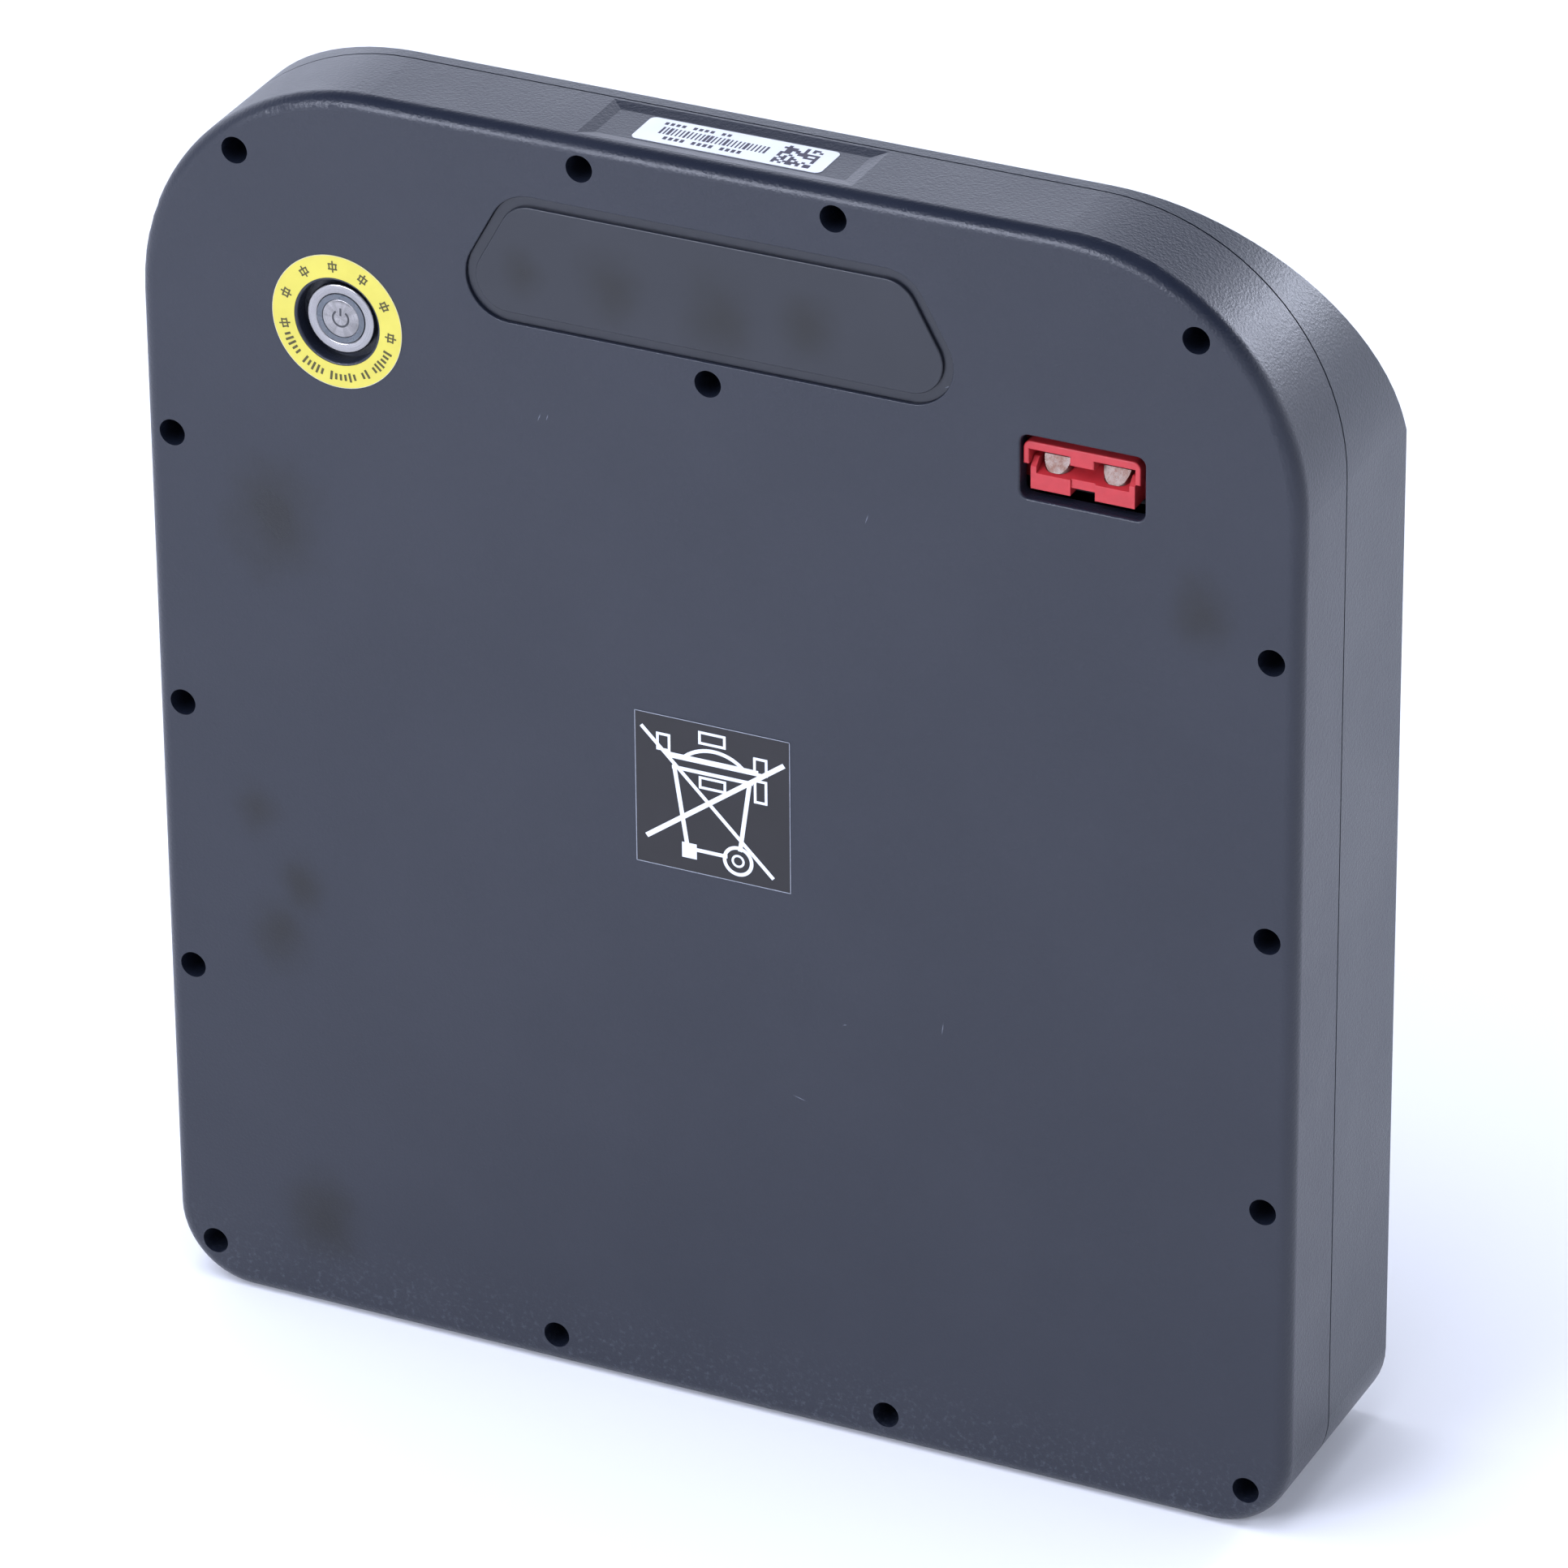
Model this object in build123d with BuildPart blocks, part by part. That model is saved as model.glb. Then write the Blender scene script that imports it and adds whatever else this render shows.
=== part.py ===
"""Portable battery pack in a flat moulded case that stands on its edge.

All sizes are in millimetres. X runs across the case, Y from the front face (-) to
the back (+) and Z up. The origin is at the middle of the footprint, on the surface
the case stands on. "Depth" always means the distance behind the front face.
"""

from build123d import *
from math import cos, radians, sin, tan
import os

os.makedirs("parts", exist_ok=True)

# --- case
case_width = 368.0
case_height = 409.0
case_depth = 76.0
wall = 3.2
top_corner_radius = 75.0
bottom_corner_radius = 24.5
face_edge_radius = 4.5
rear_edge_radius = 0.6
seam_depth = 31.5
seam_gap = 0.6
slant_start = 36.0
slant_drop = 80.0

# --- case screws, deep in their bores
screw_bore_radius = 4.2
screw_tube_wall = 1.8
screw_hole_radius = 2.2
screw_shank_radius = 1.9
screw_pilot_radius = 1.9
screw_head_radius = 3.7
screw_head_height = 2.6
screw_head_edge_radius = 1.04
screw_slot_length = 3.8
screw_slot_width = 0.9
screw_slot_depth = 1.3
screw_web = 3.0
screw_engagement = 6.0
side_screw_margin = 3.0
top_screw_margin = 2.5
bottom_screw_margin = 4.0
corner_screw_margin = 3.0
top_corner_screw_angle = 50.6
bottom_corner_screw_angle = 42.0
top_screw_pitch = 79.6
bottom_screw_pitch = 109.4
side_screw_stretch = 3.1
middle_screw_drop = 68.3

# --- seam gasket
gasket_inset = 1.0
gasket_width = 1.3

# --- hand-grip opening and its blank
grip_width = 172.4
grip_height = 40.9
grip_side_angle = 61.0
grip_corner_radius = 13.5
grip_top_drop = 20.6
grip_lip_radius = 0.4
grip_ledge = 3.5
grip_ledge_thickness = 2.4
grip_lining = 2.5
blank_thickness = 3.0
blank_clearance = 0.12
blank_rebate_width = 3.2
blank_rebate_depth = 1.2
blank_seal_thickness = 0.5
blank_edge_radius = 0.5

# --- stickers
sticker_thickness = 0.15
disposal_sticker_size = 50.0
disposal_sticker_lift = 1.0
data_label_length = 59.5
data_label_width = 15.0
data_label_corner = 2.0
data_label_shift = 1.0
data_label_depth = 17.9
ring_label_width = 7.15
ring_label_margin = 0.05

# --- shallow recess in the top for the data label
label_recess_length = 78.4
label_recess_ramp = 4.0
label_recess_drop = 0.8
label_recess_rim = 1.0

# --- start button
button_inset = 65.0
button_drop = 72.5
button_travel = 1.5
recess_gap = 2.1
recess_lip = 0.8
bezel_radius = 11.0
bezel_depth = 2.0
bezel_thickness = 2.0
bezel_chamfer = 0.6
button_gasket_thickness = 1.0
barrel_radius = 9.4
barrel_clearance = 0.2
barrel_length = 21.0
lens_radius = 7.7
lens_thickness = 2.8
cap_radius = 6.05
cap_drop = 0.15
cap_flange_thickness = 1.0
cap_edge_radius = 0.25
actuator_clearance = 0.12
stem_radius = 2.4
spring_wire_radius = 0.3
spring_coil_radius = 3.6
spring_length = 8.0
spring_turns = 5
spring_bore_radius = 4.6
spring_web = 1.0
over_travel = 0.3
stem_reach = 1.2
barrel_wall = 1.8
contact_block_length = 9.5
terminal_length = 6.0
terminal_width = 2.0
terminal_thickness = 0.6
terminal_pitch = 4.4
nut_across_flats = 24.0
nut_thickness = 3.0
washer_thickness = 0.8
washer_overlap = 3.2

# --- power connector
connector_inset = 68.2
connector_drop = 73.9
connector_width = 36.0
connector_height = 15.1
connector_length = 30.0
connector_setback = 1.5
connector_clearance = 1.2
connector_rise = 1.15
opening_shift = 0.8
opening_corner = 2.6
opening_lip = 0.8
opening_tunnel = 5.0
hood_depth = 12.5
hood_wall = 2.6
hood_corner_radius = 2.4
hood_leg_wall = 1.7
hood_leg_drop = 7.3
hood_rib_width = 7.4
hood_rib_drop = 5.3
housing_edge_radius = 0.45
tongue_setback = 0.7
tongue_inset = 2.0
tongue_ramp_length = 7.8
tongue_side_wall = 1.7
tongue_side_lip = 1.9
tongue_side_rise = 2.4
tongue_height = 5.0
tongue_slope = 2.6
tongue_block_width = 12.2
tongue_web_setback = 0.6
tongue_web_lift = 2.4
contact_pitch = 18.2
contact_width = 8.6
contact_thickness = 2.2
contact_setback = 1.8
contact_nose = 2.7
contact_lift = 0.15
contact_tip_radius = 3.6
contact_clearance = 0.3
contact_channel_height = 9.4
contact_barrel_radius = 3.4
leaf_thickness = 0.6
leaf_width = 6.0
leaf_length = 14.0
wing_width = 3.0
wing_depth = 8.0
wing_length = 4.0
bracket_thickness = 2.5
bracket_margin = 4.0
bracket_corner = 3.0
bracket_clearance = 0.15
bracket_post_gap = 1.4
bracket_post_radius = 3.6
bracket_screw_radius = 1.4
bracket_head_radius = 2.8
bracket_head_height = 1.9
bracket_screw_length = 9.0

# --- cells and what holds them
cell_radius = 16.0
cell_gap = 1.5
rear_pad_thickness = 1.8
cell_clearance = 0.15
holder_thickness = 8.0
holder_gap = 1.0
cell_block_bottom = 21.0
electronics_height = 57.0
bus_thickness = 0.4
bus_gap = 2.0
insulator_thickness = 0.5
spacer_radius = 3.5
foam_pad_width = 40.0
side_pad_height = 44.0
base_pad_width = 60.0
bus_tab_width = 10.0
bus_tab_height = 8.0

# --- battery management board
board_height = 34.0
board_thickness = 1.6
board_post_length = 9.2
board_side_gap = 10.0
board_button_gap = 30.0
board_lowering = 8.0
board_margin = 4.0
board_post_radius = 3.4
board_screw_radius = 1.2
board_screw_head = 2.5
board_screw_head_height = 1.6
board_screw_length = 6.0
board_free_stretch = 80.0
transistor_width = 6.6
transistor_height = 9.0
transistor_thickness = 2.3
transistor_pitch = 8.6
sink_height = 12.0
sink_thickness = 9.0
sink_base = 2.4
sink_fin_pitch = 6.0
sink_fin_width = 1.6
capacitor_radius = 3.2
capacitor_length = 9.0
capacitor_pitch = 9.0
capacitor_count = 3
socket_width = 30.0
socket_height = 7.0
socket_thickness = 6.5
socket_place = 45.0
socket_rise = 9.0
sink_place = 18.6
sink_drop = 8.0
sink_margin = 2.0
capacitor_place = 40.0
capacitor_drop = 6.0

# --- fuse
fuse_offset = 24.4
fuse_holder_width = 36.0
fuse_holder_height = 16.0
fuse_holder_thickness = 7.0
fuse_tab_length = 42.0
fuse_width = 22.0
fuse_height = 11.0
fuse_thickness = 8.0
fuse_tab_thickness = 1.5
fuse_tab_width = 9.0
fuse_bolt_radius = 2.4
fuse_bolt_height = 5.0
fuse_bolt_pitch = 34.0

# --- how far apart two equal lengths may be
tolerance = 0.01

# --- leads: how far each one runs straight, rises or swings out before it turns
arc_share = 0.45
lead_radius = 2.6
lead_reach = 12.0
output_pad_place = 11.0
output_pad_drop = 12.75
pack_pad_place = 15.0
pack_pad_drop = 10.75
button_lead_radius = 0.8
signal_pad_place = 9.0
signal_pad_pitch = 4.0
signal_pad_rise = 7.25
sensor_pad_place = 21.0
sensor_lead_radius = 0.7
sensor_bead_radius = 2.0
harness_width = 24.0
harness_thickness = 1.4
bus_lead_reach = 5.0
bus_lead_rise = 5.0
output_lead_reach = 15.6
output_lead_rise = 2.0
output_lead_swing = 4.0
output_lead_gap = 8.0
pack_lead_swing = 27.0
pack_lead_foot = 14.0
pack_lead_crest = 13.0
pack_lead_gap = 14.0
pack_lead_reach = 16.0
button_lead_reach = 10.0
button_lead_rise = 3.0
button_lead_gap = 12.0
button_pad_reach = 11.0
harness_reach = 18.0
harness_fall = 11.0
sensor_lead_reach = 9.0
sensor_lead_rise = 1.0
sensor_pad_reach = 12.0

# --- worked out from the sizes above
cover_depth = seam_depth - seam_gap / 2
rear_start = seam_depth + seam_gap / 2
back_inner = case_depth - wall
half_width = case_width / 2
button_x = button_inset - half_width
button_z = case_height - button_drop
label_recess_front = face_edge_radius + label_recess_rim + label_recess_ramp
label_recess_back = cover_depth - label_recess_rim - label_recess_ramp
label_recess_middle = (label_recess_front + label_recess_back) / 2
label_recess_width = label_recess_back - label_recess_front
recess_radius = bezel_radius + recess_gap
contact_block_radius = barrel_radius - barrel_wall
connector_x = half_width - connector_inset
connector_z = case_height - connector_drop
bracket_screw_offset = connector_width / 2 + wing_width + bracket_post_gap + bracket_post_radius
boss_radius = screw_bore_radius + screw_tube_wall
side_screw_inset = side_screw_margin + boss_radius
top_screw_inset = top_screw_margin + boss_radius
bottom_screw_inset = bottom_screw_margin + boss_radius
corner_screw_inset = corner_screw_margin + boss_radius
screw_seat = cover_depth - screw_web
grip_top = case_height - grip_top_drop
grip_middle = grip_top - grip_height / 2
grip_bottom = grip_top - grip_height
grip_ledge_back = blank_thickness + blank_seal_thickness + grip_ledge_thickness
recess_depth = bezel_depth + bezel_thickness + button_gasket_thickness
recess_floor_back = recess_depth + wall
barrel_front = bezel_depth + bezel_thickness
cap_front = bezel_depth + cap_drop
spring_start = cap_front + lens_thickness + cap_flange_thickness
spring_end = spring_start + spring_length
actuator_bore_end = spring_start + button_travel + over_travel
stem_tip = spring_end + spring_web + stem_reach
contact_block_front = stem_tip + button_travel + over_travel
contact_block_back = contact_block_front + contact_block_length
terminal_end = contact_block_back + terminal_length
opening_x = connector_x + opening_shift
opening_width = connector_width + 2 * connector_clearance
opening_height = connector_height + 2 * (connector_clearance + connector_rise)
mouth_front = connector_setback
mouth_back = connector_setback + hood_depth
connector_back = connector_setback + connector_length
connector_top = connector_z + connector_height / 2
connector_bottom = connector_z - connector_height / 2
channel_bottom = connector_bottom + (connector_height - hood_wall - contact_channel_height)
channel_middle = channel_bottom + contact_channel_height / 2
tongue_front = mouth_front + tongue_setback
ramp_end = tongue_front + tongue_ramp_length
ramp_foot = connector_bottom + tongue_height
ramp_top = ramp_foot + tongue_slope
cell_front = wall + insulator_thickness + bus_thickness
cell_back = back_inner - rear_pad_thickness - insulator_thickness - bus_thickness
cell_length = cell_back - cell_front
cell_pitch = 2 * cell_radius + cell_gap
block_width_free = 2 * (half_width - side_screw_inset - boss_radius - holder_gap)
block_height_free = grip_bottom - electronics_height - cell_block_bottom
cell_columns = int(block_width_free // cell_pitch)
cell_rows = int(block_height_free // cell_pitch)
block_width = cell_columns * cell_pitch
block_height = cell_rows * cell_pitch
block_middle = cell_block_bottom + block_height / 2
block_top = cell_block_bottom + block_height
board_z = (block_top + grip_bottom) / 2 - board_lowering
board_depth = back_inner - board_post_length - board_thickness
fuse_x = connector_x - fuse_offset
board_left = button_x + board_button_gap
board_right = fuse_x - fuse_tab_length / 2 - board_side_gap
board_x = (board_left + board_right) / 2
board_width = board_right - board_left
transistor_count = int((board_width - board_free_stretch) // transistor_pitch)
sink_width = transistor_count * transistor_pitch + 2 * sink_margin
sink_x = board_left + sink_place + sink_width / 2
socket_x = board_left + socket_place
output_pad_x = board_right - output_pad_place
output_pad_z = board_z - output_pad_drop
pack_pad_x = board_left + pack_pad_place
pack_pad_z = board_z - pack_pad_drop
signal_pad_x = board_left + signal_pad_place
signal_pad_z = board_z + signal_pad_rise
sensor_pad_x = board_right - sensor_pad_place


def y_at(depth):
    """Y of a point a given depth behind the front face."""
    return depth - case_depth / 2


def at_depth(depth):
    """Plane that faces the front, a given depth behind the front face."""
    return Plane.XZ.offset(case_depth / 2 - depth)


def case_outline(inset):
    """Outline of the case seen from the front, moved inwards by inset."""
    with BuildSketch(mode=Mode.PRIVATE) as outline:
        with Locations((0, case_height / 2)):
            Rectangle(case_width - 2 * inset, case_height - 2 * inset)
        fillet(outline.vertices().group_by(Axis.Y)[-1], top_corner_radius - inset)
        fillet(outline.vertices().group_by(Axis.Y)[0], bottom_corner_radius - inset)
    return outline.sketch


def grip_outline(inset):
    """Outline of the hand-grip opening, moved inwards by inset."""
    with BuildSketch(mode=Mode.PRIVATE) as outline:
        with Locations((0, grip_middle)):
            Trapezoid(grip_width, grip_height, grip_side_angle)
        fillet(outline.vertices(), grip_corner_radius)
        offset(amount=-inset)
    return outline.sketch


def corner_place(radius, centre_z, angle):
    """Place of a screw inset from the arc of a rounded right-hand corner."""
    reach = radius - corner_screw_inset
    across = half_width - radius + reach * cos(radians(angle))
    return (across, centre_z + reach * sin(radians(angle)))


def all_screw_places():
    """The fifteen case screws: corners, sides, top, bottom and one under the grip."""
    places = [(0, case_height - middle_screw_drop)]
    for side in (-1, 1):
        places.append((side * upper_corner[0], upper_corner[1]))
        places.append((side * lower_corner[0], lower_corner[1]))
        for step in (-1, 0, 1):
            height = side_screw_middle + step * side_screw_pitch
            places.append((side * (half_width - side_screw_inset), height))
        places.append((side * top_screw_pitch / 2, case_height - top_screw_inset))
        places.append((side * bottom_screw_pitch / 2, bottom_screw_inset))
    return places


def route(points):
    """Path of straight runs joined by arcs as large as the shorter run allows."""
    corners = [Vector(*point) for point in points]
    radii = []
    for before, corner, after in zip(corners, corners[1:], corners[2:]):
        run = min((corner - before).length, (after - corner).length)
        turn = radians((corner - before).get_angle(after - corner))
        radii.append(arc_share * run / tan(turn / 2))
    with BuildLine(mode=Mode.PRIVATE) as path:
        FilletPolyline(*points, radius=radii)
    print("arc radii", [round(radius, 1) for radius in radii])
    return path.wires()[0]


upper_corner = corner_place(
    top_corner_radius, case_height - top_corner_radius, top_corner_screw_angle
)
lower_corner = corner_place(bottom_corner_radius, bottom_corner_radius, -bottom_corner_screw_angle)
side_screw_middle = (upper_corner[1] + lower_corner[1]) / 2
side_screw_pitch = (upper_corner[1] - lower_corner[1]) / 4 - side_screw_stretch
screw_places = all_screw_places()
bracket_places = [(connector_x + side * bracket_screw_offset, connector_z) for side in (-1, 1)]
board_corners = [
    (
        board_x + side * (board_width / 2 - board_margin),
        board_z + rise * (board_height / 2 - board_margin),
    )
    for side in (-1, 1)
    for rise in (-1, 1)
]
slant_plane = Plane(
    origin=(0, y_at(slant_start), case_height),
    x_dir=(1, 0, 0),
    z_dir=(0, slant_drop, case_depth - slant_start),
)
wing_back = connector_setback + wing_depth + wing_length
bracket_back = wing_back + bracket_thickness
bus_tab_x = block_width / 2 - cell_pitch / 2

# --- front cover: a tray with screw tubes, a button recess and two openings
with BuildPart() as front_cover:
    with BuildSketch(at_depth(0)):
        add(case_outline(0))
    extrude(amount=-cover_depth)
    fillet(front_cover.faces().sort_by(Axis.Y)[0].edges(), face_edge_radius)
    with BuildSketch(at_depth(wall)):
        add(case_outline(wall))
    extrude(amount=wall - cover_depth, mode=Mode.SUBTRACT)
    # shallow recess in the top for the data label, with a gentle ramp on every side
    for level in (-1, 1):
        spread = (1 + level) * label_recess_ramp
        with BuildSketch(Plane.XY.offset(case_height + level * label_recess_drop)):
            with Locations((0, y_at(label_recess_middle))):
                Rectangle(label_recess_length + 2 * spread, label_recess_width + 2 * spread)
    loft(mode=Mode.SUBTRACT)
    # screw tubes down to the seam
    with BuildSketch(at_depth(wall)):
        with Locations(*screw_places):
            Circle(boss_radius)
    extrude(amount=wall - cover_depth)
    # thick floor behind the button recess, rim round the connector, bracket posts
    with BuildSketch(at_depth(wall)):
        with Locations((button_x, button_z)):
            Circle(recess_radius + wall)
    extrude(amount=wall - recess_floor_back)
    with BuildSketch(at_depth(wall)):
        with Locations((opening_x, connector_z)):
            RectangleRounded(opening_width + wall, opening_height + wall, opening_corner + wall / 2)
    extrude(amount=wall - opening_tunnel)
    with BuildSketch(at_depth(wall)):
        with Locations(*bracket_places):
            Circle(bracket_post_radius)
    extrude(amount=wall - wing_back)
    # ledge that the grip blank seats on, and the lining behind it
    with BuildSketch(at_depth(wall)):
        add(grip_outline(-grip_lining))
    extrude(amount=wall - grip_ledge_back)
    with BuildSketch(at_depth(wall)):
        add(grip_outline(grip_ledge - grip_lining))
    extrude(amount=wall - cover_depth)
    # openings
    with BuildSketch(at_depth(0)):
        add(grip_outline(0))
    extrude(amount=-blank_thickness - blank_seal_thickness, mode=Mode.SUBTRACT)
    with BuildSketch(at_depth(0)):
        add(grip_outline(grip_ledge))
    extrude(amount=-cover_depth, mode=Mode.SUBTRACT)
    with BuildSketch(at_depth(0)):
        with Locations((button_x, button_z)):
            Circle(recess_radius)
    extrude(amount=-recess_depth, mode=Mode.SUBTRACT)
    with BuildSketch(at_depth(0)):
        with Locations((button_x, button_z)):
            Circle(barrel_radius + barrel_clearance)
    extrude(amount=-recess_floor_back, mode=Mode.SUBTRACT)
    with BuildSketch(at_depth(0)):
        with Locations((opening_x, connector_z)):
            RectangleRounded(opening_width, opening_height, opening_corner)
    extrude(amount=-opening_tunnel, mode=Mode.SUBTRACT)
    with BuildSketch(at_depth(0)):
        with Locations(*screw_places):
            Circle(screw_bore_radius)
    extrude(amount=-screw_seat, mode=Mode.SUBTRACT)
    with BuildSketch(at_depth(screw_seat)):
        with Locations(*screw_places):
            Circle(screw_hole_radius)
    extrude(amount=-screw_web, mode=Mode.SUBTRACT)
    with BuildSketch(at_depth(wing_back)):
        with Locations(*bracket_places):
            Circle(bracket_screw_radius)
    extrude(amount=bracket_screw_length - bracket_thickness, mode=Mode.SUBTRACT)
    face_edges = front_cover.faces().sort_by(Axis.Y)[0].inner_wires().edges()
    opening_reach = opening_width / 2 + opening_lip
    opening_rise = opening_height / 2 + opening_lip
    opening_edges = face_edges.filter_by_position(
        Axis.X, opening_x - opening_reach, opening_x + opening_reach
    ).filter_by_position(Axis.Z, connector_z - opening_rise, connector_z + opening_rise)
    fillet(opening_edges, opening_lip)
    face_edges = front_cover.faces().sort_by(Axis.Y)[0].inner_wires().edges()
    grip_edges = face_edges.filter_by_position(
        Axis.X, -grip_width / 2, grip_width / 2
    ).filter_by_position(Axis.Z, grip_bottom - grip_lip_radius, grip_top + grip_lip_radius)
    fillet(grip_edges, grip_lip_radius)
    recess_edges = front_cover.faces().sort_by(Axis.Y)[0].inner_wires().edges().filter_by(
        lambda edge: edge.geom_type == GeomType.CIRCLE
        and abs(edge.radius - recess_radius) < tolerance
    )
    fillet(recess_edges, recess_lip)
front_cover.part.label = "front_cover"
export_step(front_cover.part, "parts/front_cover.step")

# --- inner space of the rear shell, used to hollow it
with BuildPart() as rear_space:
    with BuildSketch(at_depth(rear_start)):
        add(case_outline(wall))
    extrude(amount=rear_start - back_inner)
    split(bisect_by=slant_plane.offset(-wall), keep=Keep.BOTTOM)

# --- rear shell: a tray whose upper back is cut by the slanted plane
with BuildPart() as rear_shell:
    with BuildSketch(at_depth(rear_start)):
        add(case_outline(0))
    extrude(amount=rear_start - case_depth)
    split(bisect_by=slant_plane, keep=Keep.BOTTOM)
    add(rear_space.part, mode=Mode.SUBTRACT)
    # screw bosses that meet the cover's tubes, and the grip lining
    with BuildSketch(at_depth(cover_depth)):
        with Locations(*screw_places):
            Circle(boss_radius)
    extrude(amount=cover_depth - case_depth + wall / 2)
    with BuildSketch(at_depth(cover_depth)):
        add(grip_outline(grip_ledge - grip_lining))
    extrude(amount=cover_depth - case_depth)
    with BuildSketch(at_depth(board_depth + board_thickness)):
        with Locations(*board_corners):
            Circle(board_post_radius)
    extrude(amount=board_depth + board_thickness - case_depth + wall / 2)
    with BuildSketch(at_depth(cover_depth)):
        add(grip_outline(grip_ledge))
    extrude(amount=cover_depth - case_depth, mode=Mode.SUBTRACT)
    with BuildSketch(at_depth(cover_depth)):
        with Locations(*screw_places):
            Circle(screw_pilot_radius)
    extrude(amount=-screw_engagement, mode=Mode.SUBTRACT)
    with BuildSketch(at_depth(board_depth + board_thickness)):
        with Locations(*board_corners):
            Circle(board_screw_radius)
    extrude(amount=board_thickness - board_screw_length, mode=Mode.SUBTRACT)
    split(bisect_by=slant_plane, keep=Keep.BOTTOM)
    fillet(rear_shell.faces().sort_by(Axis.Y)[-1].outer_wire().edges(), rear_edge_radius)
rear_shell.part.label = "rear_shell"
export_step(rear_shell.part, "parts/rear_shell.step")

# --- case gasket: the dark strip in the seam
with BuildPart() as case_gasket:
    with BuildSketch(at_depth(cover_depth)):
        add(case_outline(gasket_inset))
        add(case_outline(gasket_inset + gasket_width), mode=Mode.SUBTRACT)
    extrude(amount=-seam_gap)
case_gasket.part.label = "case_gasket"
export_step(case_gasket.part, "parts/case_gasket.step")

# --- case screws: domed heads with a cross recess
with BuildPart() as case_screws:
    with BuildSketch(at_depth(screw_seat - screw_head_height)):
        with Locations(*screw_places):
            Circle(screw_head_radius)
    extrude(amount=-screw_head_height)
    fillet(case_screws.edges().group_by(Axis.Y)[0], screw_head_edge_radius)
    with BuildSketch(at_depth(screw_seat)):
        with Locations(*screw_places):
            Circle(screw_shank_radius)
    extrude(amount=-screw_web - screw_engagement)
    with BuildSketch(at_depth(screw_seat - screw_head_height)):
        with Locations(*screw_places):
            Rectangle(screw_slot_length, screw_slot_width)
            Rectangle(screw_slot_width, screw_slot_length)
    extrude(amount=-screw_slot_depth, mode=Mode.SUBTRACT)
case_screws.part.label = "case_screws"
export_step(case_screws.part, "parts/case_screws.step")

# --- blank that closes the hand-grip opening, with a rebate round its raised middle
with BuildPart() as grip_blank:
    with BuildSketch(at_depth(0)):
        add(grip_outline(blank_clearance))
    extrude(amount=-blank_thickness)
    with BuildSketch(at_depth(0)):
        add(grip_outline(0))
        add(grip_outline(blank_rebate_width), mode=Mode.SUBTRACT)
    extrude(amount=-blank_rebate_depth, mode=Mode.SUBTRACT)
    fillet(grip_blank.faces().sort_by(Axis.Y)[0].edges(), blank_edge_radius)
grip_blank.part.label = "grip_blank"
export_step(grip_blank.part, "parts/grip_blank.step")

with BuildPart() as grip_blank_seal:
    with BuildSketch(at_depth(blank_thickness)):
        add(grip_outline(blank_clearance))
        add(grip_outline(grip_ledge), mode=Mode.SUBTRACT)
    extrude(amount=-blank_seal_thickness)
grip_blank_seal.part.label = "grip_blank_seal"
export_step(grip_blank_seal.part, "parts/grip_blank_seal.step")

# --- stickers
with BuildPart() as disposal_sticker:
    with BuildSketch(at_depth(0)):
        with Locations((0, case_height / 2 + disposal_sticker_lift)):
            Rectangle(disposal_sticker_size, disposal_sticker_size)
    extrude(amount=sticker_thickness)
disposal_sticker.part.label = "disposal_sticker"
export_step(disposal_sticker.part, "parts/disposal_sticker.step")

with BuildPart() as data_label:
    with BuildSketch(Plane.XY.offset(case_height - label_recess_drop)):
        with Locations((data_label_shift, y_at(data_label_depth))):
            RectangleRounded(data_label_length, data_label_width, data_label_corner)
    extrude(amount=sticker_thickness)
data_label.part.label = "data_label"
export_step(data_label.part, "parts/data_label.step")

ring_label_inner = recess_radius + recess_lip + ring_label_margin
with BuildPart() as ring_label:
    with BuildSketch(at_depth(0)):
        with Locations((button_x, button_z)):
            Circle(ring_label_inner + ring_label_width)
            Circle(ring_label_inner, mode=Mode.SUBTRACT)
    extrude(amount=sticker_thickness)
ring_label.part.label = "ring_label"
export_step(ring_label.part, "parts/ring_label.step")

# --- start button: a metal push switch in the recess
with BuildPart() as button_body:
    with BuildSketch(at_depth(bezel_depth)):
        with Locations((button_x, button_z)):
            Circle(bezel_radius)
    extrude(amount=-bezel_thickness)
    chamfer(button_body.edges().group_by(Axis.Y)[0], bezel_chamfer)
    with BuildSketch(at_depth(barrel_front)):
        with Locations((button_x, button_z)):
            Circle(barrel_radius)
    extrude(amount=-barrel_length)
    with BuildSketch(at_depth(bezel_depth)):
        with Locations((button_x, button_z)):
            Circle(lens_radius + actuator_clearance)
    extrude(amount=bezel_depth - actuator_bore_end, mode=Mode.SUBTRACT)
    with BuildSketch(at_depth(bezel_depth)):
        with Locations((button_x, button_z)):
            Circle(spring_bore_radius)
    extrude(amount=bezel_depth - spring_end, mode=Mode.SUBTRACT)
    with BuildSketch(at_depth(bezel_depth)):
        with Locations((button_x, button_z)):
            Circle(stem_radius + actuator_clearance * 2)
    extrude(amount=-barrel_length, mode=Mode.SUBTRACT)
    with BuildSketch(at_depth(spring_end + spring_web)):
        with Locations((button_x, button_z)):
            Circle(contact_block_radius)
    extrude(amount=-barrel_length, mode=Mode.SUBTRACT)
button_body.part.label = "button_body"
export_step(button_body.part, "parts/button_body.step")

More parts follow.
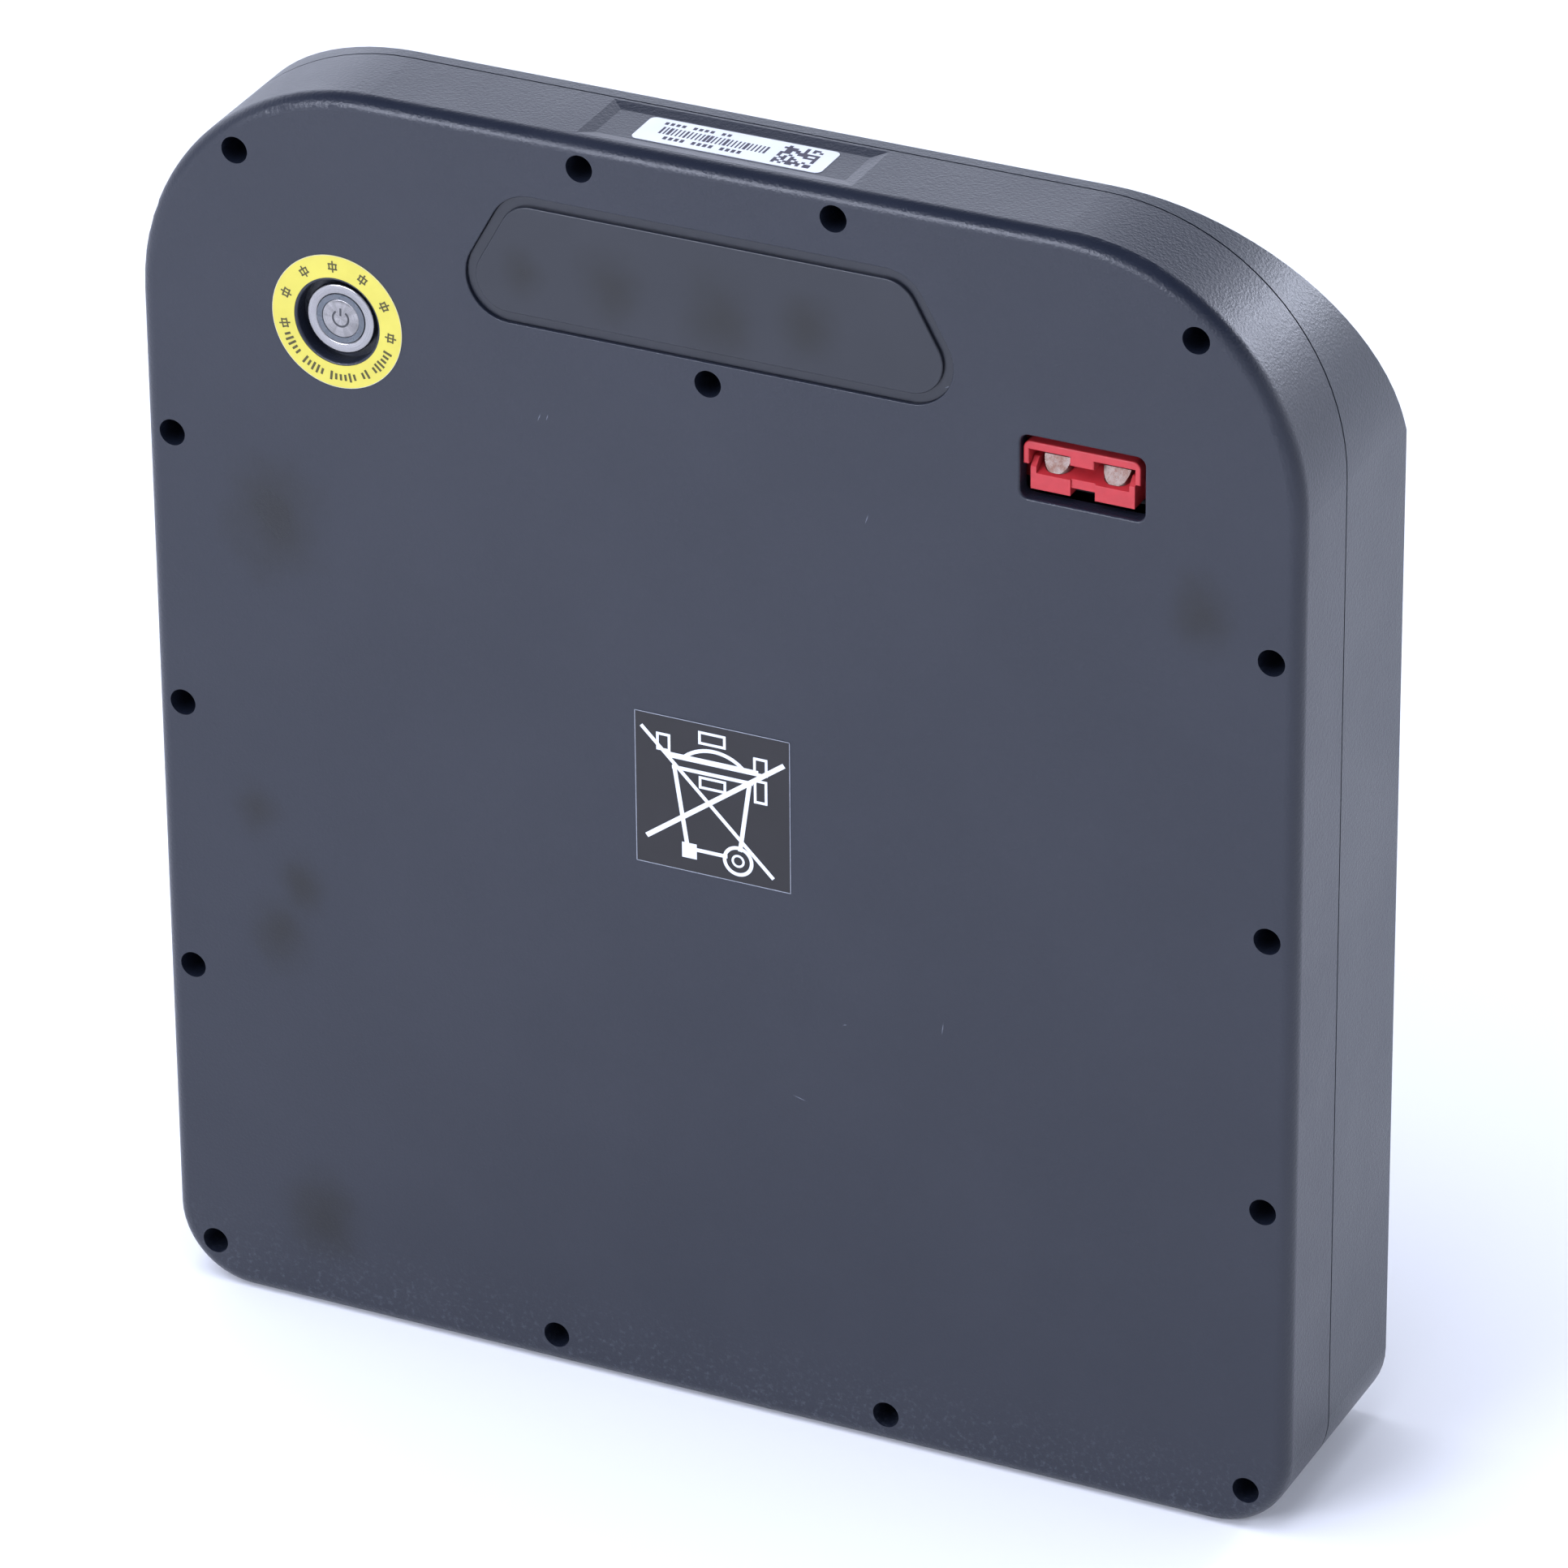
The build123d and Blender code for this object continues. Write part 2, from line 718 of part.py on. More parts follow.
with BuildPart() as button_cap:
    with BuildSketch(at_depth(cap_front)):
        with Locations((button_x, button_z)):
            Circle(cap_radius)
    extrude(amount=-lens_thickness)
    with BuildSketch(at_depth(cap_front + lens_thickness)):
        with Locations((button_x, button_z)):
            Circle(lens_radius)
    extrude(amount=-cap_flange_thickness)
    with BuildSketch(at_depth(spring_start)):
        with Locations((button_x, button_z)):
            Circle(stem_radius)
    extrude(amount=spring_start - stem_tip)
    fillet(button_cap.edges().group_by(Axis.Y)[0], cap_edge_radius)
button_cap.part.label = "button_cap"
export_step(button_cap.part, "parts/button_cap.step")

with BuildPart() as button_light_ring:
    with BuildSketch(at_depth(cap_front)):
        with Locations((button_x, button_z)):
            Circle(lens_radius)
            Circle(cap_radius, mode=Mode.SUBTRACT)
    extrude(amount=-lens_thickness)
button_light_ring.part.label = "button_light_ring"
export_step(button_light_ring.part, "parts/button_light_ring.step")

coil_start = (button_x, y_at(spring_start + spring_wire_radius), button_z)
coil_height = spring_length - 2 * spring_wire_radius
with BuildPart() as button_spring:
    with BuildLine() as coil:
        Helix(
            coil_height / spring_turns,
            coil_height,
            spring_coil_radius,
            center=coil_start,
            direction=(0, 1, 0),
        )
    with BuildSketch(Plane(origin=coil.line @ 0, z_dir=coil.line % 0)):
        Circle(spring_wire_radius)
    sweep(path=coil.line, is_frenet=True)
button_spring.part.label = "button_spring"
export_step(button_spring.part, "parts/button_spring.step")

with BuildPart() as button_gasket:
    with BuildSketch(at_depth(barrel_front)):
        with Locations((button_x, button_z)):
            Circle(bezel_radius - bezel_chamfer)
            Circle(barrel_radius, mode=Mode.SUBTRACT)
    extrude(amount=-button_gasket_thickness)
button_gasket.part.label = "button_gasket"
export_step(button_gasket.part, "parts/button_gasket.step")

with BuildPart() as button_washer:
    with BuildSketch(at_depth(recess_floor_back)):
        with Locations((button_x, button_z)):
            Circle(barrel_radius + washer_overlap)
            Circle(barrel_radius, mode=Mode.SUBTRACT)
    extrude(amount=-washer_thickness)
button_washer.part.label = "button_washer"
export_step(button_washer.part, "parts/button_washer.step")

with BuildPart() as button_nut:
    with BuildSketch(at_depth(recess_floor_back + washer_thickness)):
        with Locations((button_x, button_z)):
            RegularPolygon(nut_across_flats / 2, 6, major_radius=False)
            Circle(barrel_radius, mode=Mode.SUBTRACT)
    extrude(amount=-nut_thickness)
button_nut.part.label = "button_nut"
export_step(button_nut.part, "parts/button_nut.step")

with BuildPart() as button_contact_block:
    with BuildSketch(at_depth(contact_block_front)):
        with Locations((button_x, button_z)):
            Circle(contact_block_radius)
    extrude(amount=-contact_block_length)
button_contact_block.part.label = "button_contact_block"
export_step(button_contact_block.part, "parts/button_contact_block.step")

with BuildPart() as button_terminals:
    with BuildSketch(at_depth(contact_block_back)):
        with Locations((button_x, button_z)):
            Rectangle(terminal_width, terminal_thickness)
            with PolarLocations(terminal_pitch, 4):
                Rectangle(terminal_thickness, terminal_width)
    extrude(amount=-terminal_length)
button_terminals.part.label = "button_terminals"
export_step(button_terminals.part, "parts/button_terminals.step")

# --- power connector: hood above, stepped tongue below, two contact channels
with BuildPart() as connector_housing:
    with BuildSketch(at_depth(mouth_back)):
        with Locations((connector_x, connector_z)):
            Rectangle(connector_width, connector_height)
    extrude(amount=mouth_back - connector_back)
    # hood: top wall, a leg at each end and a rib in the middle
    with BuildSketch(at_depth(mouth_front)) as hood:
        with Locations((connector_x, connector_top)):
            Rectangle(connector_width, hood_wall, align=(Align.CENTER, Align.MAX))
            Rectangle(hood_rib_width, hood_rib_drop, align=(Align.CENTER, Align.MAX))
        with Locations((connector_x - connector_width / 2, connector_top)):
            Rectangle(hood_leg_wall, hood_leg_drop, align=(Align.MIN, Align.MAX))
        with Locations((connector_x + connector_width / 2, connector_top)):
            Rectangle(hood_leg_wall, hood_leg_drop, align=(Align.MAX, Align.MAX))
        fillet(hood.vertices().group_by(Axis.Y)[-1], hood_corner_radius)
    extrude(amount=mouth_front - mouth_back)
    # tongue: two blocks with sloping tops, joined by a web that is set back and lifted
    for side in (-1, 1):
        block_outer = connector_x + side * (connector_width / 2 - tongue_inset)
        block_middle_x = block_outer - side * tongue_block_width / 2
        with BuildSketch(Plane.YZ.offset(block_middle_x)):
            with BuildLine():
                Polyline(
                    (y_at(tongue_front), connector_bottom),
                    (y_at(tongue_front), ramp_foot),
                    (y_at(ramp_end), ramp_top),
                    (y_at(mouth_back), ramp_top),
                    (y_at(mouth_back), connector_bottom),
                    close=True,
                )
            make_face()
        extrude(amount=tongue_block_width / 2, both=True)
        with BuildSketch(Plane.YZ.offset(block_outer - side * tongue_side_wall / 2)):
            with BuildLine():
                Polyline(
                    (y_at(tongue_front), connector_bottom),
                    (y_at(tongue_front), ramp_foot + tongue_side_lip),
                    (y_at(tongue_front + tongue_side_rise), ramp_foot + tongue_side_lip + tongue_side_rise),
                    (y_at(mouth_back), ramp_foot + tongue_side_lip + tongue_side_rise),
                    (y_at(mouth_back), connector_bottom),
                    close=True,
                )
            make_face()
        extrude(amount=tongue_side_wall / 2, both=True)
    with BuildSketch(Plane.YZ.offset(connector_x)):
        with BuildLine():
            web_front = tongue_front + tongue_web_setback
            web_top = ramp_foot + tongue_slope * tongue_web_setback / tongue_ramp_length
            Polyline(
                (y_at(web_front), connector_bottom + tongue_web_lift),
                (y_at(web_front), web_top),
                (y_at(ramp_end), ramp_top),
                (y_at(mouth_back), ramp_top),
                (y_at(mouth_back), connector_bottom + tongue_web_lift),
                close=True,
            )
        make_face()
    extrude(amount=connector_width / 2 - tongue_inset - tongue_block_width, both=True)
    # side lugs that the bracket presses on
    with BuildSketch(at_depth(wing_back - wing_length)):
        with Locations((connector_x, connector_z)):
            Rectangle(connector_width + 2 * wing_width, connector_height)
            Rectangle(connector_width - 2 * tongue_inset, connector_height, mode=Mode.SUBTRACT)
    extrude(amount=-wing_length)
    # contact channels
    with BuildSketch(at_depth(mouth_back)):
        with Locations((connector_x, channel_middle)):
            with GridLocations(contact_pitch, 1, 2, 1):
                Rectangle(contact_width + 2 * contact_clearance, contact_channel_height)
    extrude(amount=mouth_back - connector_back, mode=Mode.SUBTRACT)
    front_edges = connector_housing.faces().filter_by(
        lambda face: abs(face.center().Y - y_at(mouth_front)) < tolerance
    ).edges()
    fillet(front_edges, housing_edge_radius)
connector_housing.part.label = "connector_housing"
export_step(connector_housing.part, "parts/connector_housing.step")

# --- flat contacts: a rounded blade on the slope of the tongue and a crimp barrel
blade_bottom = ramp_top + contact_lift
blade_end = mouth_back + contact_barrel_radius
tip_depth = mouth_front + contact_setback
tip_height = blade_bottom - tongue_slope * (ramp_end - tip_depth) / tongue_ramp_length
with BuildPart() as connector_contacts:
    for side in (-1, 1):
        contact_x = connector_x + side * contact_pitch / 2
        with BuildSketch(Plane.YZ.offset(contact_x)):
            with BuildLine():
                Polyline(
                    (y_at(tip_depth), tip_height),
                    (y_at(tip_depth + contact_nose), blade_bottom + contact_thickness),
                    (y_at(blade_end), blade_bottom + contact_thickness),
                    (y_at(blade_end), blade_bottom),
                    (y_at(ramp_end), blade_bottom),
                    close=True,
                )
            make_face()
        extrude(amount=contact_width / 2, both=True)
    # rounded tips
    with BuildSketch(Plane.XY.offset(blade_bottom)):
        with Locations((connector_x, y_at((tip_depth + blade_end + contact_tip_radius) / 2))):
            with GridLocations(contact_pitch, 1, 2, 1):
                RectangleRounded(
                    contact_width, blade_end + contact_tip_radius - tip_depth, contact_tip_radius
                )
    extrude(amount=connector_height, both=True, mode=Mode.INTERSECT)
    with BuildSketch(at_depth(mouth_back + contact_clearance)):
        with Locations((connector_x, channel_middle)):
            with GridLocations(contact_pitch, 1, 2, 1):
                Circle(contact_barrel_radius)
    extrude(amount=mouth_back + contact_clearance - connector_back)
connector_contacts.part.label = "connector_contacts"
export_step(connector_contacts.part, "parts/connector_contacts.step")

with BuildPart() as connector_contact_springs:
    with BuildSketch(Plane.XY.offset(channel_bottom)):
        with Locations((connector_x, y_at(mouth_back + contact_clearance + leaf_length / 2))):
            with GridLocations(contact_pitch, 1, 2, 1):
                Rectangle(leaf_width, leaf_length)
    extrude(amount=leaf_thickness)
connector_contact_springs.part.label = "connector_contact_springs"
export_step(connector_contact_springs.part, "parts/connector_contact_springs.step")

with BuildPart() as connector_bracket:
    with BuildSketch(at_depth(wing_back)):
        with Locations((connector_x, connector_z)):
            RectangleRounded(
                2 * (bracket_screw_offset + bracket_margin),
                connector_height + 2 * bracket_margin,
                bracket_corner,
            )
            Rectangle(
                connector_width + 2 * bracket_clearance,
                connector_height + 2 * bracket_clearance,
                mode=Mode.SUBTRACT,
            )
        with Locations(*bracket_places):
            Circle(bracket_screw_radius, mode=Mode.SUBTRACT)
    extrude(amount=-bracket_thickness)
connector_bracket.part.label = "connector_bracket"
export_step(connector_bracket.part, "parts/connector_bracket.step")

with BuildPart() as bracket_screws:
    with BuildSketch(at_depth(bracket_back)):
        with Locations(*bracket_places):
            Circle(bracket_head_radius)
    extrude(amount=-bracket_head_height)
    with BuildSketch(at_depth(bracket_back)):
        with Locations(*bracket_places):
            Circle(bracket_screw_radius)
    extrude(amount=bracket_screw_length)
bracket_screws.part.label = "bracket_screws"
export_step(bracket_screws.part, "parts/bracket_screws.step")

# --- cells between two holders
with BuildPart() as cells:
    with BuildSketch(at_depth(cell_front)):
        with Locations((0, block_middle)):
            with GridLocations(cell_pitch, cell_pitch, cell_columns, cell_rows):
                Circle(cell_radius)
    extrude(amount=-cell_length)
cells.part.label = "cells"
export_step(cells.part, "parts/cells.step")

with BuildPart() as front_cell_holder:
    with BuildSketch(at_depth(cell_front)):
        with Locations((0, block_middle)):
            Rectangle(block_width, block_height)
            with GridLocations(cell_pitch, cell_pitch, cell_columns, cell_rows):
                Circle(cell_radius + cell_clearance, mode=Mode.SUBTRACT)
    extrude(amount=-holder_thickness)
front_cell_holder.part.label = "front_cell_holder"
export_step(front_cell_holder.part, "parts/front_cell_holder.step")

with BuildPart() as rear_cell_holder:
    with BuildSketch(at_depth(cell_back - holder_thickness)):
        with Locations((0, block_middle)):
            Rectangle(block_width, block_height)
            with GridLocations(cell_pitch, cell_pitch, cell_columns, cell_rows):
                Circle(cell_radius + cell_clearance, mode=Mode.SUBTRACT)
    extrude(amount=-holder_thickness)
rear_cell_holder.part.label = "rear_cell_holder"
export_step(rear_cell_holder.part, "parts/rear_cell_holder.step")

with BuildPart() as holder_spacers:
    with BuildSketch(at_depth(cell_front + holder_thickness)):
        with Locations((0, block_middle)):
            with GridLocations((cell_columns - 2) * cell_pitch, (cell_rows - 2) * cell_pitch, 2, 2):
                Circle(spacer_radius)
    extrude(amount=2 * holder_thickness - cell_length)
holder_spacers.part.label = "holder_spacers"
export_step(holder_spacers.part, "parts/holder_spacers.step")

# --- bus strips: in front they join rows 1-2, 3-4 ..., behind they join 2-3, 4-5 ...,
#     so that the groups run up one half of the block and down the other
left_columns = cell_columns // 2
halves = [(0, left_columns), (left_columns, cell_columns - left_columns)]
block_left = -block_width / 2

with BuildPart() as front_bus_strips:
    with BuildSketch(at_depth(cell_front)):
        for first_column, columns in halves:
            for first_row in range(0, cell_rows, 2):
                rows = min(2, cell_rows - first_row)
                strip_x = block_left + (first_column + columns / 2) * cell_pitch
                strip_z = cell_block_bottom + (first_row + rows / 2) * cell_pitch
                with Locations((strip_x, strip_z)):
                    Rectangle(columns * cell_pitch - bus_gap, rows * cell_pitch - bus_gap)
    extrude(amount=bus_thickness)
front_bus_strips.part.label = "front_bus_strips"
export_step(front_bus_strips.part, "parts/front_bus_strips.step")

with BuildPart() as rear_bus_strips:
    with BuildSketch(at_depth(cell_back)):
        with Locations((0, cell_block_bottom + cell_pitch / 2)):
            Rectangle(block_width - bus_gap, cell_pitch - bus_gap)
        for first_column, columns in halves:
            for first_row in range(1, cell_rows, 2):
                rows = min(2, cell_rows - first_row)
                strip_x = block_left + (first_column + columns / 2) * cell_pitch
                strip_z = cell_block_bottom + (first_row + rows / 2) * cell_pitch
                with Locations((strip_x, strip_z)):
                    Rectangle(columns * cell_pitch - bus_gap, rows * cell_pitch - bus_gap)
        for side in (-1, 1):
            with Locations((side * bus_tab_x, block_top - bus_gap)):
                Rectangle(bus_tab_width, bus_tab_height + bus_gap, align=(Align.CENTER, Align.MIN))
    extrude(amount=-bus_thickness)
rear_bus_strips.part.label = "rear_bus_strips"
export_step(rear_bus_strips.part, "parts/rear_bus_strips.step")

with BuildPart() as front_insulator:
    with BuildSketch(at_depth(wall)):
        with Locations((0, block_middle)):
            Rectangle(block_width, block_height)
    extrude(amount=-insulator_thickness)
front_insulator.part.label = "front_insulator"
export_step(front_insulator.part, "parts/front_insulator.step")

with BuildPart() as rear_insulator:
    with BuildSketch(at_depth(cell_back + bus_thickness)):
        with Locations((0, block_middle)):
            Rectangle(block_width, block_height)
    extrude(amount=-insulator_thickness)
rear_insulator.part.label = "rear_insulator"
export_step(rear_insulator.part, "parts/rear_insulator.step")

# --- pads: behind, beside and under the cell block
with BuildPart() as rear_pads:
    with BuildSketch(at_depth(cell_back + bus_thickness + insulator_thickness)):
        with Locations((0, block_middle)):
            with GridLocations(2 * cell_pitch, 1, cell_columns // 2, 1):
                Rectangle(foam_pad_width, block_height)
    extrude(amount=cell_back + bus_thickness + insulator_thickness - back_inner)
rear_pads.part.label = "rear_pads"
export_step(rear_pads.part, "parts/rear_pads.step")

side_gap = half_width - wall - block_width / 2
with BuildPart() as side_pads:
    with BuildSketch(at_depth(cell_front)):
        with Locations((0, side_screw_middle)):
            with GridLocations(block_width + side_gap, side_screw_pitch, 2, 2):
                Rectangle(side_gap, side_pad_height)
    extrude(amount=-cell_length)
side_pads.part.label = "side_pads"
export_step(side_pads.part, "parts/side_pads.step")

base_gap = cell_block_bottom - wall
with BuildPart() as base_pads:
    with BuildSketch(at_depth(cell_front)):
        with Locations((0, wall + base_gap / 2)):
            with GridLocations((lower_corner[0] + bottom_screw_pitch / 2) / 2, 1, 3, 1):
                Rectangle(base_pad_width, base_gap)
    extrude(amount=-cell_length)
base_pads.part.label = "base_pads"
export_step(base_pads.part, "parts/base_pads.step")

# --- battery management board on posts of the rear shell, with its parts in front
with BuildPart() as bms_board:
    with BuildSketch(at_depth(board_depth)):
        with Locations((board_x, board_z)):
            Rectangle(board_width, board_height)
        with Locations(*board_corners):
            Circle(board_screw_radius, mode=Mode.SUBTRACT)
    extrude(amount=-board_thickness)
bms_board.part.label = "bms_board"
export_step(bms_board.part, "parts/bms_board.step")

with BuildPart() as bms_screws:
    with BuildSketch(at_depth(board_depth - board_screw_head_height)):
        with Locations(*board_corners):
            Circle(board_screw_head)
    extrude(amount=-board_screw_head_height)
    with BuildSketch(at_depth(board_depth)):
        with Locations(*board_corners):
            Circle(board_screw_radius)
    extrude(amount=-board_screw_length)
bms_screws.part.label = "bms_screws"
export_step(bms_screws.part, "parts/bms_screws.step")

sink_z = board_z - sink_drop
sink_back = board_depth - transistor_thickness
with BuildPart() as bms_transistors:
    with BuildSketch(at_depth(sink_back)):
        with Locations((sink_x, sink_z)):
            with GridLocations(transistor_pitch, 1, transistor_count, 1):
                Rectangle(transistor_width, transistor_height)
    extrude(amount=-transistor_thickness)
bms_transistors.part.label = "bms_transistors"
export_step(bms_transistors.part, "parts/bms_transistors.step")

with BuildPart() as bms_heatsink:
    with BuildSketch(at_depth(sink_back)):
        with Locations((sink_x, sink_z)):
            Rectangle(sink_width, sink_height)
    extrude(amount=sink_base)
    with BuildSketch(at_depth(sink_back - sink_base)):
        with Locations((sink_x, sink_z)):
            with GridLocations(sink_fin_pitch, 1, int(sink_width // sink_fin_pitch), 1):
                Rectangle(sink_fin_width, sink_height)
    extrude(amount=sink_thickness - sink_base)
bms_heatsink.part.label = "bms_heatsink"
export_step(bms_heatsink.part, "parts/bms_heatsink.step")

with BuildPart() as bms_capacitors:
    with BuildSketch(at_depth(board_depth)):
        with Locations((board_right - capacitor_place, board_z - capacitor_drop)):
            with GridLocations(capacitor_pitch, 1, capacitor_count, 1):
                Circle(capacitor_radius)
    extrude(amount=capacitor_length)
bms_capacitors.part.label = "bms_capacitors"
export_step(bms_capacitors.part, "parts/bms_capacitors.step")

socket_z = board_z + socket_rise
with BuildPart() as balance_socket:
    with BuildSketch(at_depth(board_depth)):
        with Locations((socket_x, socket_z)):
            Rectangle(socket_width, socket_height)
    extrude(amount=socket_thickness)
balance_socket.part.label = "balance_socket"
export_step(balance_socket.part, "parts/balance_socket.step")

# --- fuse, bolted to a holder on the back wall
fuse_z = board_z
fuse_back = back_inner - fuse_holder_thickness
fuse_tab_front = fuse_back - fuse_tab_thickness
bolt_front = fuse_tab_front - fuse_bolt_height
with BuildPart() as fuse_holder:
    with BuildSketch(at_depth(fuse_back)):
        with Locations((fuse_x, fuse_z)):
            Rectangle(fuse_holder_width, fuse_holder_height)
    extrude(amount=-fuse_holder_thickness)
fuse_holder.part.label = "fuse_holder"
export_step(fuse_holder.part, "parts/fuse_holder.step")

with BuildPart() as fuse:
    with BuildSketch(at_depth(fuse_back)):
        with Locations((fuse_x, fuse_z)):
            Rectangle(fuse_tab_length, fuse_tab_width)
    extrude(amount=fuse_tab_thickness)
    with BuildSketch(at_depth(fuse_tab_front)):
        with Locations((fuse_x, fuse_z)):
            Rectangle(fuse_width, fuse_height)
    extrude(amount=fuse_thickness)
fuse.part.label = "fuse"
export_step(fuse.part, "parts/fuse.step")

with BuildPart() as fuse_bolts:
    with BuildSketch(at_depth(fuse_tab_front)):
        with Locations((fuse_x, fuse_z)):
            with GridLocations(fuse_bolt_pitch, 1, 2, 1):
                RegularPolygon(fuse_bolt_radius, 6)
    extrude(amount=fuse_bolt_height)
fuse_bolts.part.label = "fuse_bolts"
export_step(fuse_bolts.part, "parts/fuse_bolts.step")

# --- leads: straight runs joined by arcs, from one piece's face to the other's
tab_top = block_top + bus_tab_height
tab_y = y_at(cell_back + bus_thickness - lead_radius)
bolt_left = fuse_x - fuse_bolt_pitch / 2
bolt_right = fuse_x + fuse_bolt_pitch / 2
contact_left = connector_x - contact_pitch / 2
contact_right = connector_x + contact_pitch / 2
bolt_y = y_at(bolt_front)
contact_y = y_at(connector_back)
board_y = y_at(board_depth)

lead_routes = {
    "positive_pack_lead": [
        (bolt_right, bolt_y, fuse_z),
        (bolt_right, bolt_y - lead_reach, fuse_z),
        ((bolt_right + bus_tab_x) / 2, bolt_y - lead_reach, fuse_z + bus_lead_rise),
        (bus_tab_x, tab_y - bus_lead_reach, fuse_z),
        (bus_tab_x, tab_y, tab_top),
    ],
    "positive_output_lead": [
        (bolt_left, bolt_y, fuse_z),
        (bolt_left, bolt_y - lead_reach, fuse_z),
        (contact_left, contact_y + lead_reach, channel_middle),
        (contact_left, contact_y, channel_middle),
    ],
    "negative_output_lead": [
        (output_pad_x, board_y, output_pad_z),
        (output_pad_x, board_y - output_lead_reach, output_pad_z),
        (
            (output_pad_x + contact_right) / 2,
            contact_y + output_lead_swing,
            output_pad_z + output_lead_rise,
        ),
        (
            contact_right + output_lead_swing,
            contact_y + output_lead_gap,
            (output_pad_z + channel_middle) / 2,
        ),
        (contact_right, contact_y + lead_reach, channel_middle),
        (contact_right, contact_y, channel_middle),
    ],
    "negative_pack_lead": [
        (-bus_tab_x, tab_y, tab_top),
        (-bus_tab_x, tab_y - bus_lead_reach, tab_top + pack_lead_foot),
        (-bus_tab_x + pack_lead_swing, board_y - pack_lead_gap, tab_top + pack_lead_crest),
        (pack_pad_x, board_y - pack_lead_reach, pack_pad_z),
        (pack_pad_x, board_y, pack_pad_z),
    ],
}
for lead_name, lead_points in lead_routes.items():
    lead_path = route(lead_points)
    with BuildPart() as lead:
        with BuildSketch(Plane(origin=lead_path @ 0, z_dir=lead_path % 0)):
            Circle(lead_radius)
        sweep(path=lead_path)
    lead.part.label = lead_name
    export_step(lead.part, f"parts/{lead_name}.step")

with BuildPart() as button_leads:
    for side in (-1, 1):
        terminal_x = button_x + side * terminal_pitch
        pad_x = signal_pad_x + side * signal_pad_pitch / 2
        button_path = route(
            [
                (terminal_x, y_at(terminal_end), button_z),
                (terminal_x, y_at(terminal_end + button_lead_reach), button_z),
                (
                    (terminal_x + pad_x) / 2,
                    board_y - button_lead_gap,
                    (button_z + signal_pad_z) / 2 + button_lead_rise,
                ),
                (pad_x, board_y - button_pad_reach, signal_pad_z),
                (pad_x, board_y, signal_pad_z),
            ]
        )
        with BuildSketch(Plane(origin=button_path @ 0, z_dir=button_path % 0)):
            Circle(button_lead_radius)
        sweep(path=button_path)
button_leads.part.label = "button_leads"
export_step(button_leads.part, "parts/button_leads.step")

# --- flat balance harness, from the socket over the block to the front holder
holder_middle_y = y_at(cell_front + holder_thickness / 2)
harness_path = route(
    [
        (socket_x, board_y - socket_thickness, socket_z),
        (socket_x, board_y - socket_thickness - harness_reach, socket_z),
        (socket_x, holder_middle_y, socket_z - harness_fall),
        (socket_x, holder_middle_y, block_top),
    ]
)
with BuildPart() as balance_harness:
    with BuildSketch(Plane(origin=harness_path @ 0, x_dir=(1, 0, 0), z_dir=harness_path % 0)):
        Rectangle(harness_width, harness_thickness)
    sweep(path=harness_path)
balance_harness.part.label = "balance_harness"
export_step(balance_harness.part, "parts/balance_harness.step")

# --- temperature sensor: a bead on the top row of cells, and its lead to the board
bead_x = cell_pitch / 2 if cell_columns % 2 == 0 else 0
bead_z = block_top - cell_pitch / 2 + cell_radius + sensor_bead_radius
sensor_path = route(
    [
        (bead_x, sensor_bead_radius / 2, bead_z),
        (bead_x, sensor_bead_radius / 2 + sensor_lead_reach, bead_z + sensor_lead_rise),
        (sensor_pad_x, board_y - sensor_pad_reach, output_pad_z + sensor_lead_rise),
        (sensor_pad_x, board_y, output_pad_z + sensor_lead_rise),
    ]
)
with BuildPart() as temperature_sensor:
    with Locations((bead_x, 0, bead_z)):
        Sphere(sensor_bead_radius)
    with BuildSketch(Plane(origin=sensor_path @ 0, z_dir=sensor_path % 0)):
        Circle(sensor_lead_radius)
    sweep(path=sensor_path)
temperature_sensor.part.label = "temperature_sensor"
export_step(temperature_sensor.part, "parts/temperature_sensor.step")
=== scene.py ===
"""Looks of a portable battery pack: its finishes, its printed films and its button."""

import logging
import math
import random
from dataclasses import dataclass
from enum import Enum
from typing import Iterable, Sequence

import bmesh
import bpy
from mathutils import Matrix, Vector


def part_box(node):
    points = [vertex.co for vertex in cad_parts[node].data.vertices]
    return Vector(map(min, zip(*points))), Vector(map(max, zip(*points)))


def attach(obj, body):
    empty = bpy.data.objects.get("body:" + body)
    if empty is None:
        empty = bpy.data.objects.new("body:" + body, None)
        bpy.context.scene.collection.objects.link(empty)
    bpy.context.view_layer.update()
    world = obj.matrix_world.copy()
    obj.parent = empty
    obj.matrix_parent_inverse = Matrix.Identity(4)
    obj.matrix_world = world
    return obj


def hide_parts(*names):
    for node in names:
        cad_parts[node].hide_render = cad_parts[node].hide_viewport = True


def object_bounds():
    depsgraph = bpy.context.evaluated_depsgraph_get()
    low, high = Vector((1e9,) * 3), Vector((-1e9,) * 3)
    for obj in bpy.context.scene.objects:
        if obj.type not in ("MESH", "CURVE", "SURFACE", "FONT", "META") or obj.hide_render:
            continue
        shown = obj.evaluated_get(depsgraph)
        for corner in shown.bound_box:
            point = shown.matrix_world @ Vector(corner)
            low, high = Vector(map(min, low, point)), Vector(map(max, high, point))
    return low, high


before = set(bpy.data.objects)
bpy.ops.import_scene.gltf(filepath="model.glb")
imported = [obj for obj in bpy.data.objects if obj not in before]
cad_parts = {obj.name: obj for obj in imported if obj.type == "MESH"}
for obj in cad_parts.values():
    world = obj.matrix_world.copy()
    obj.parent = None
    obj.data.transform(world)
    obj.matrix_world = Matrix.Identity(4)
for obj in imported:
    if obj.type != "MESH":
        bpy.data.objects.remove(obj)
CAD_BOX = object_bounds()

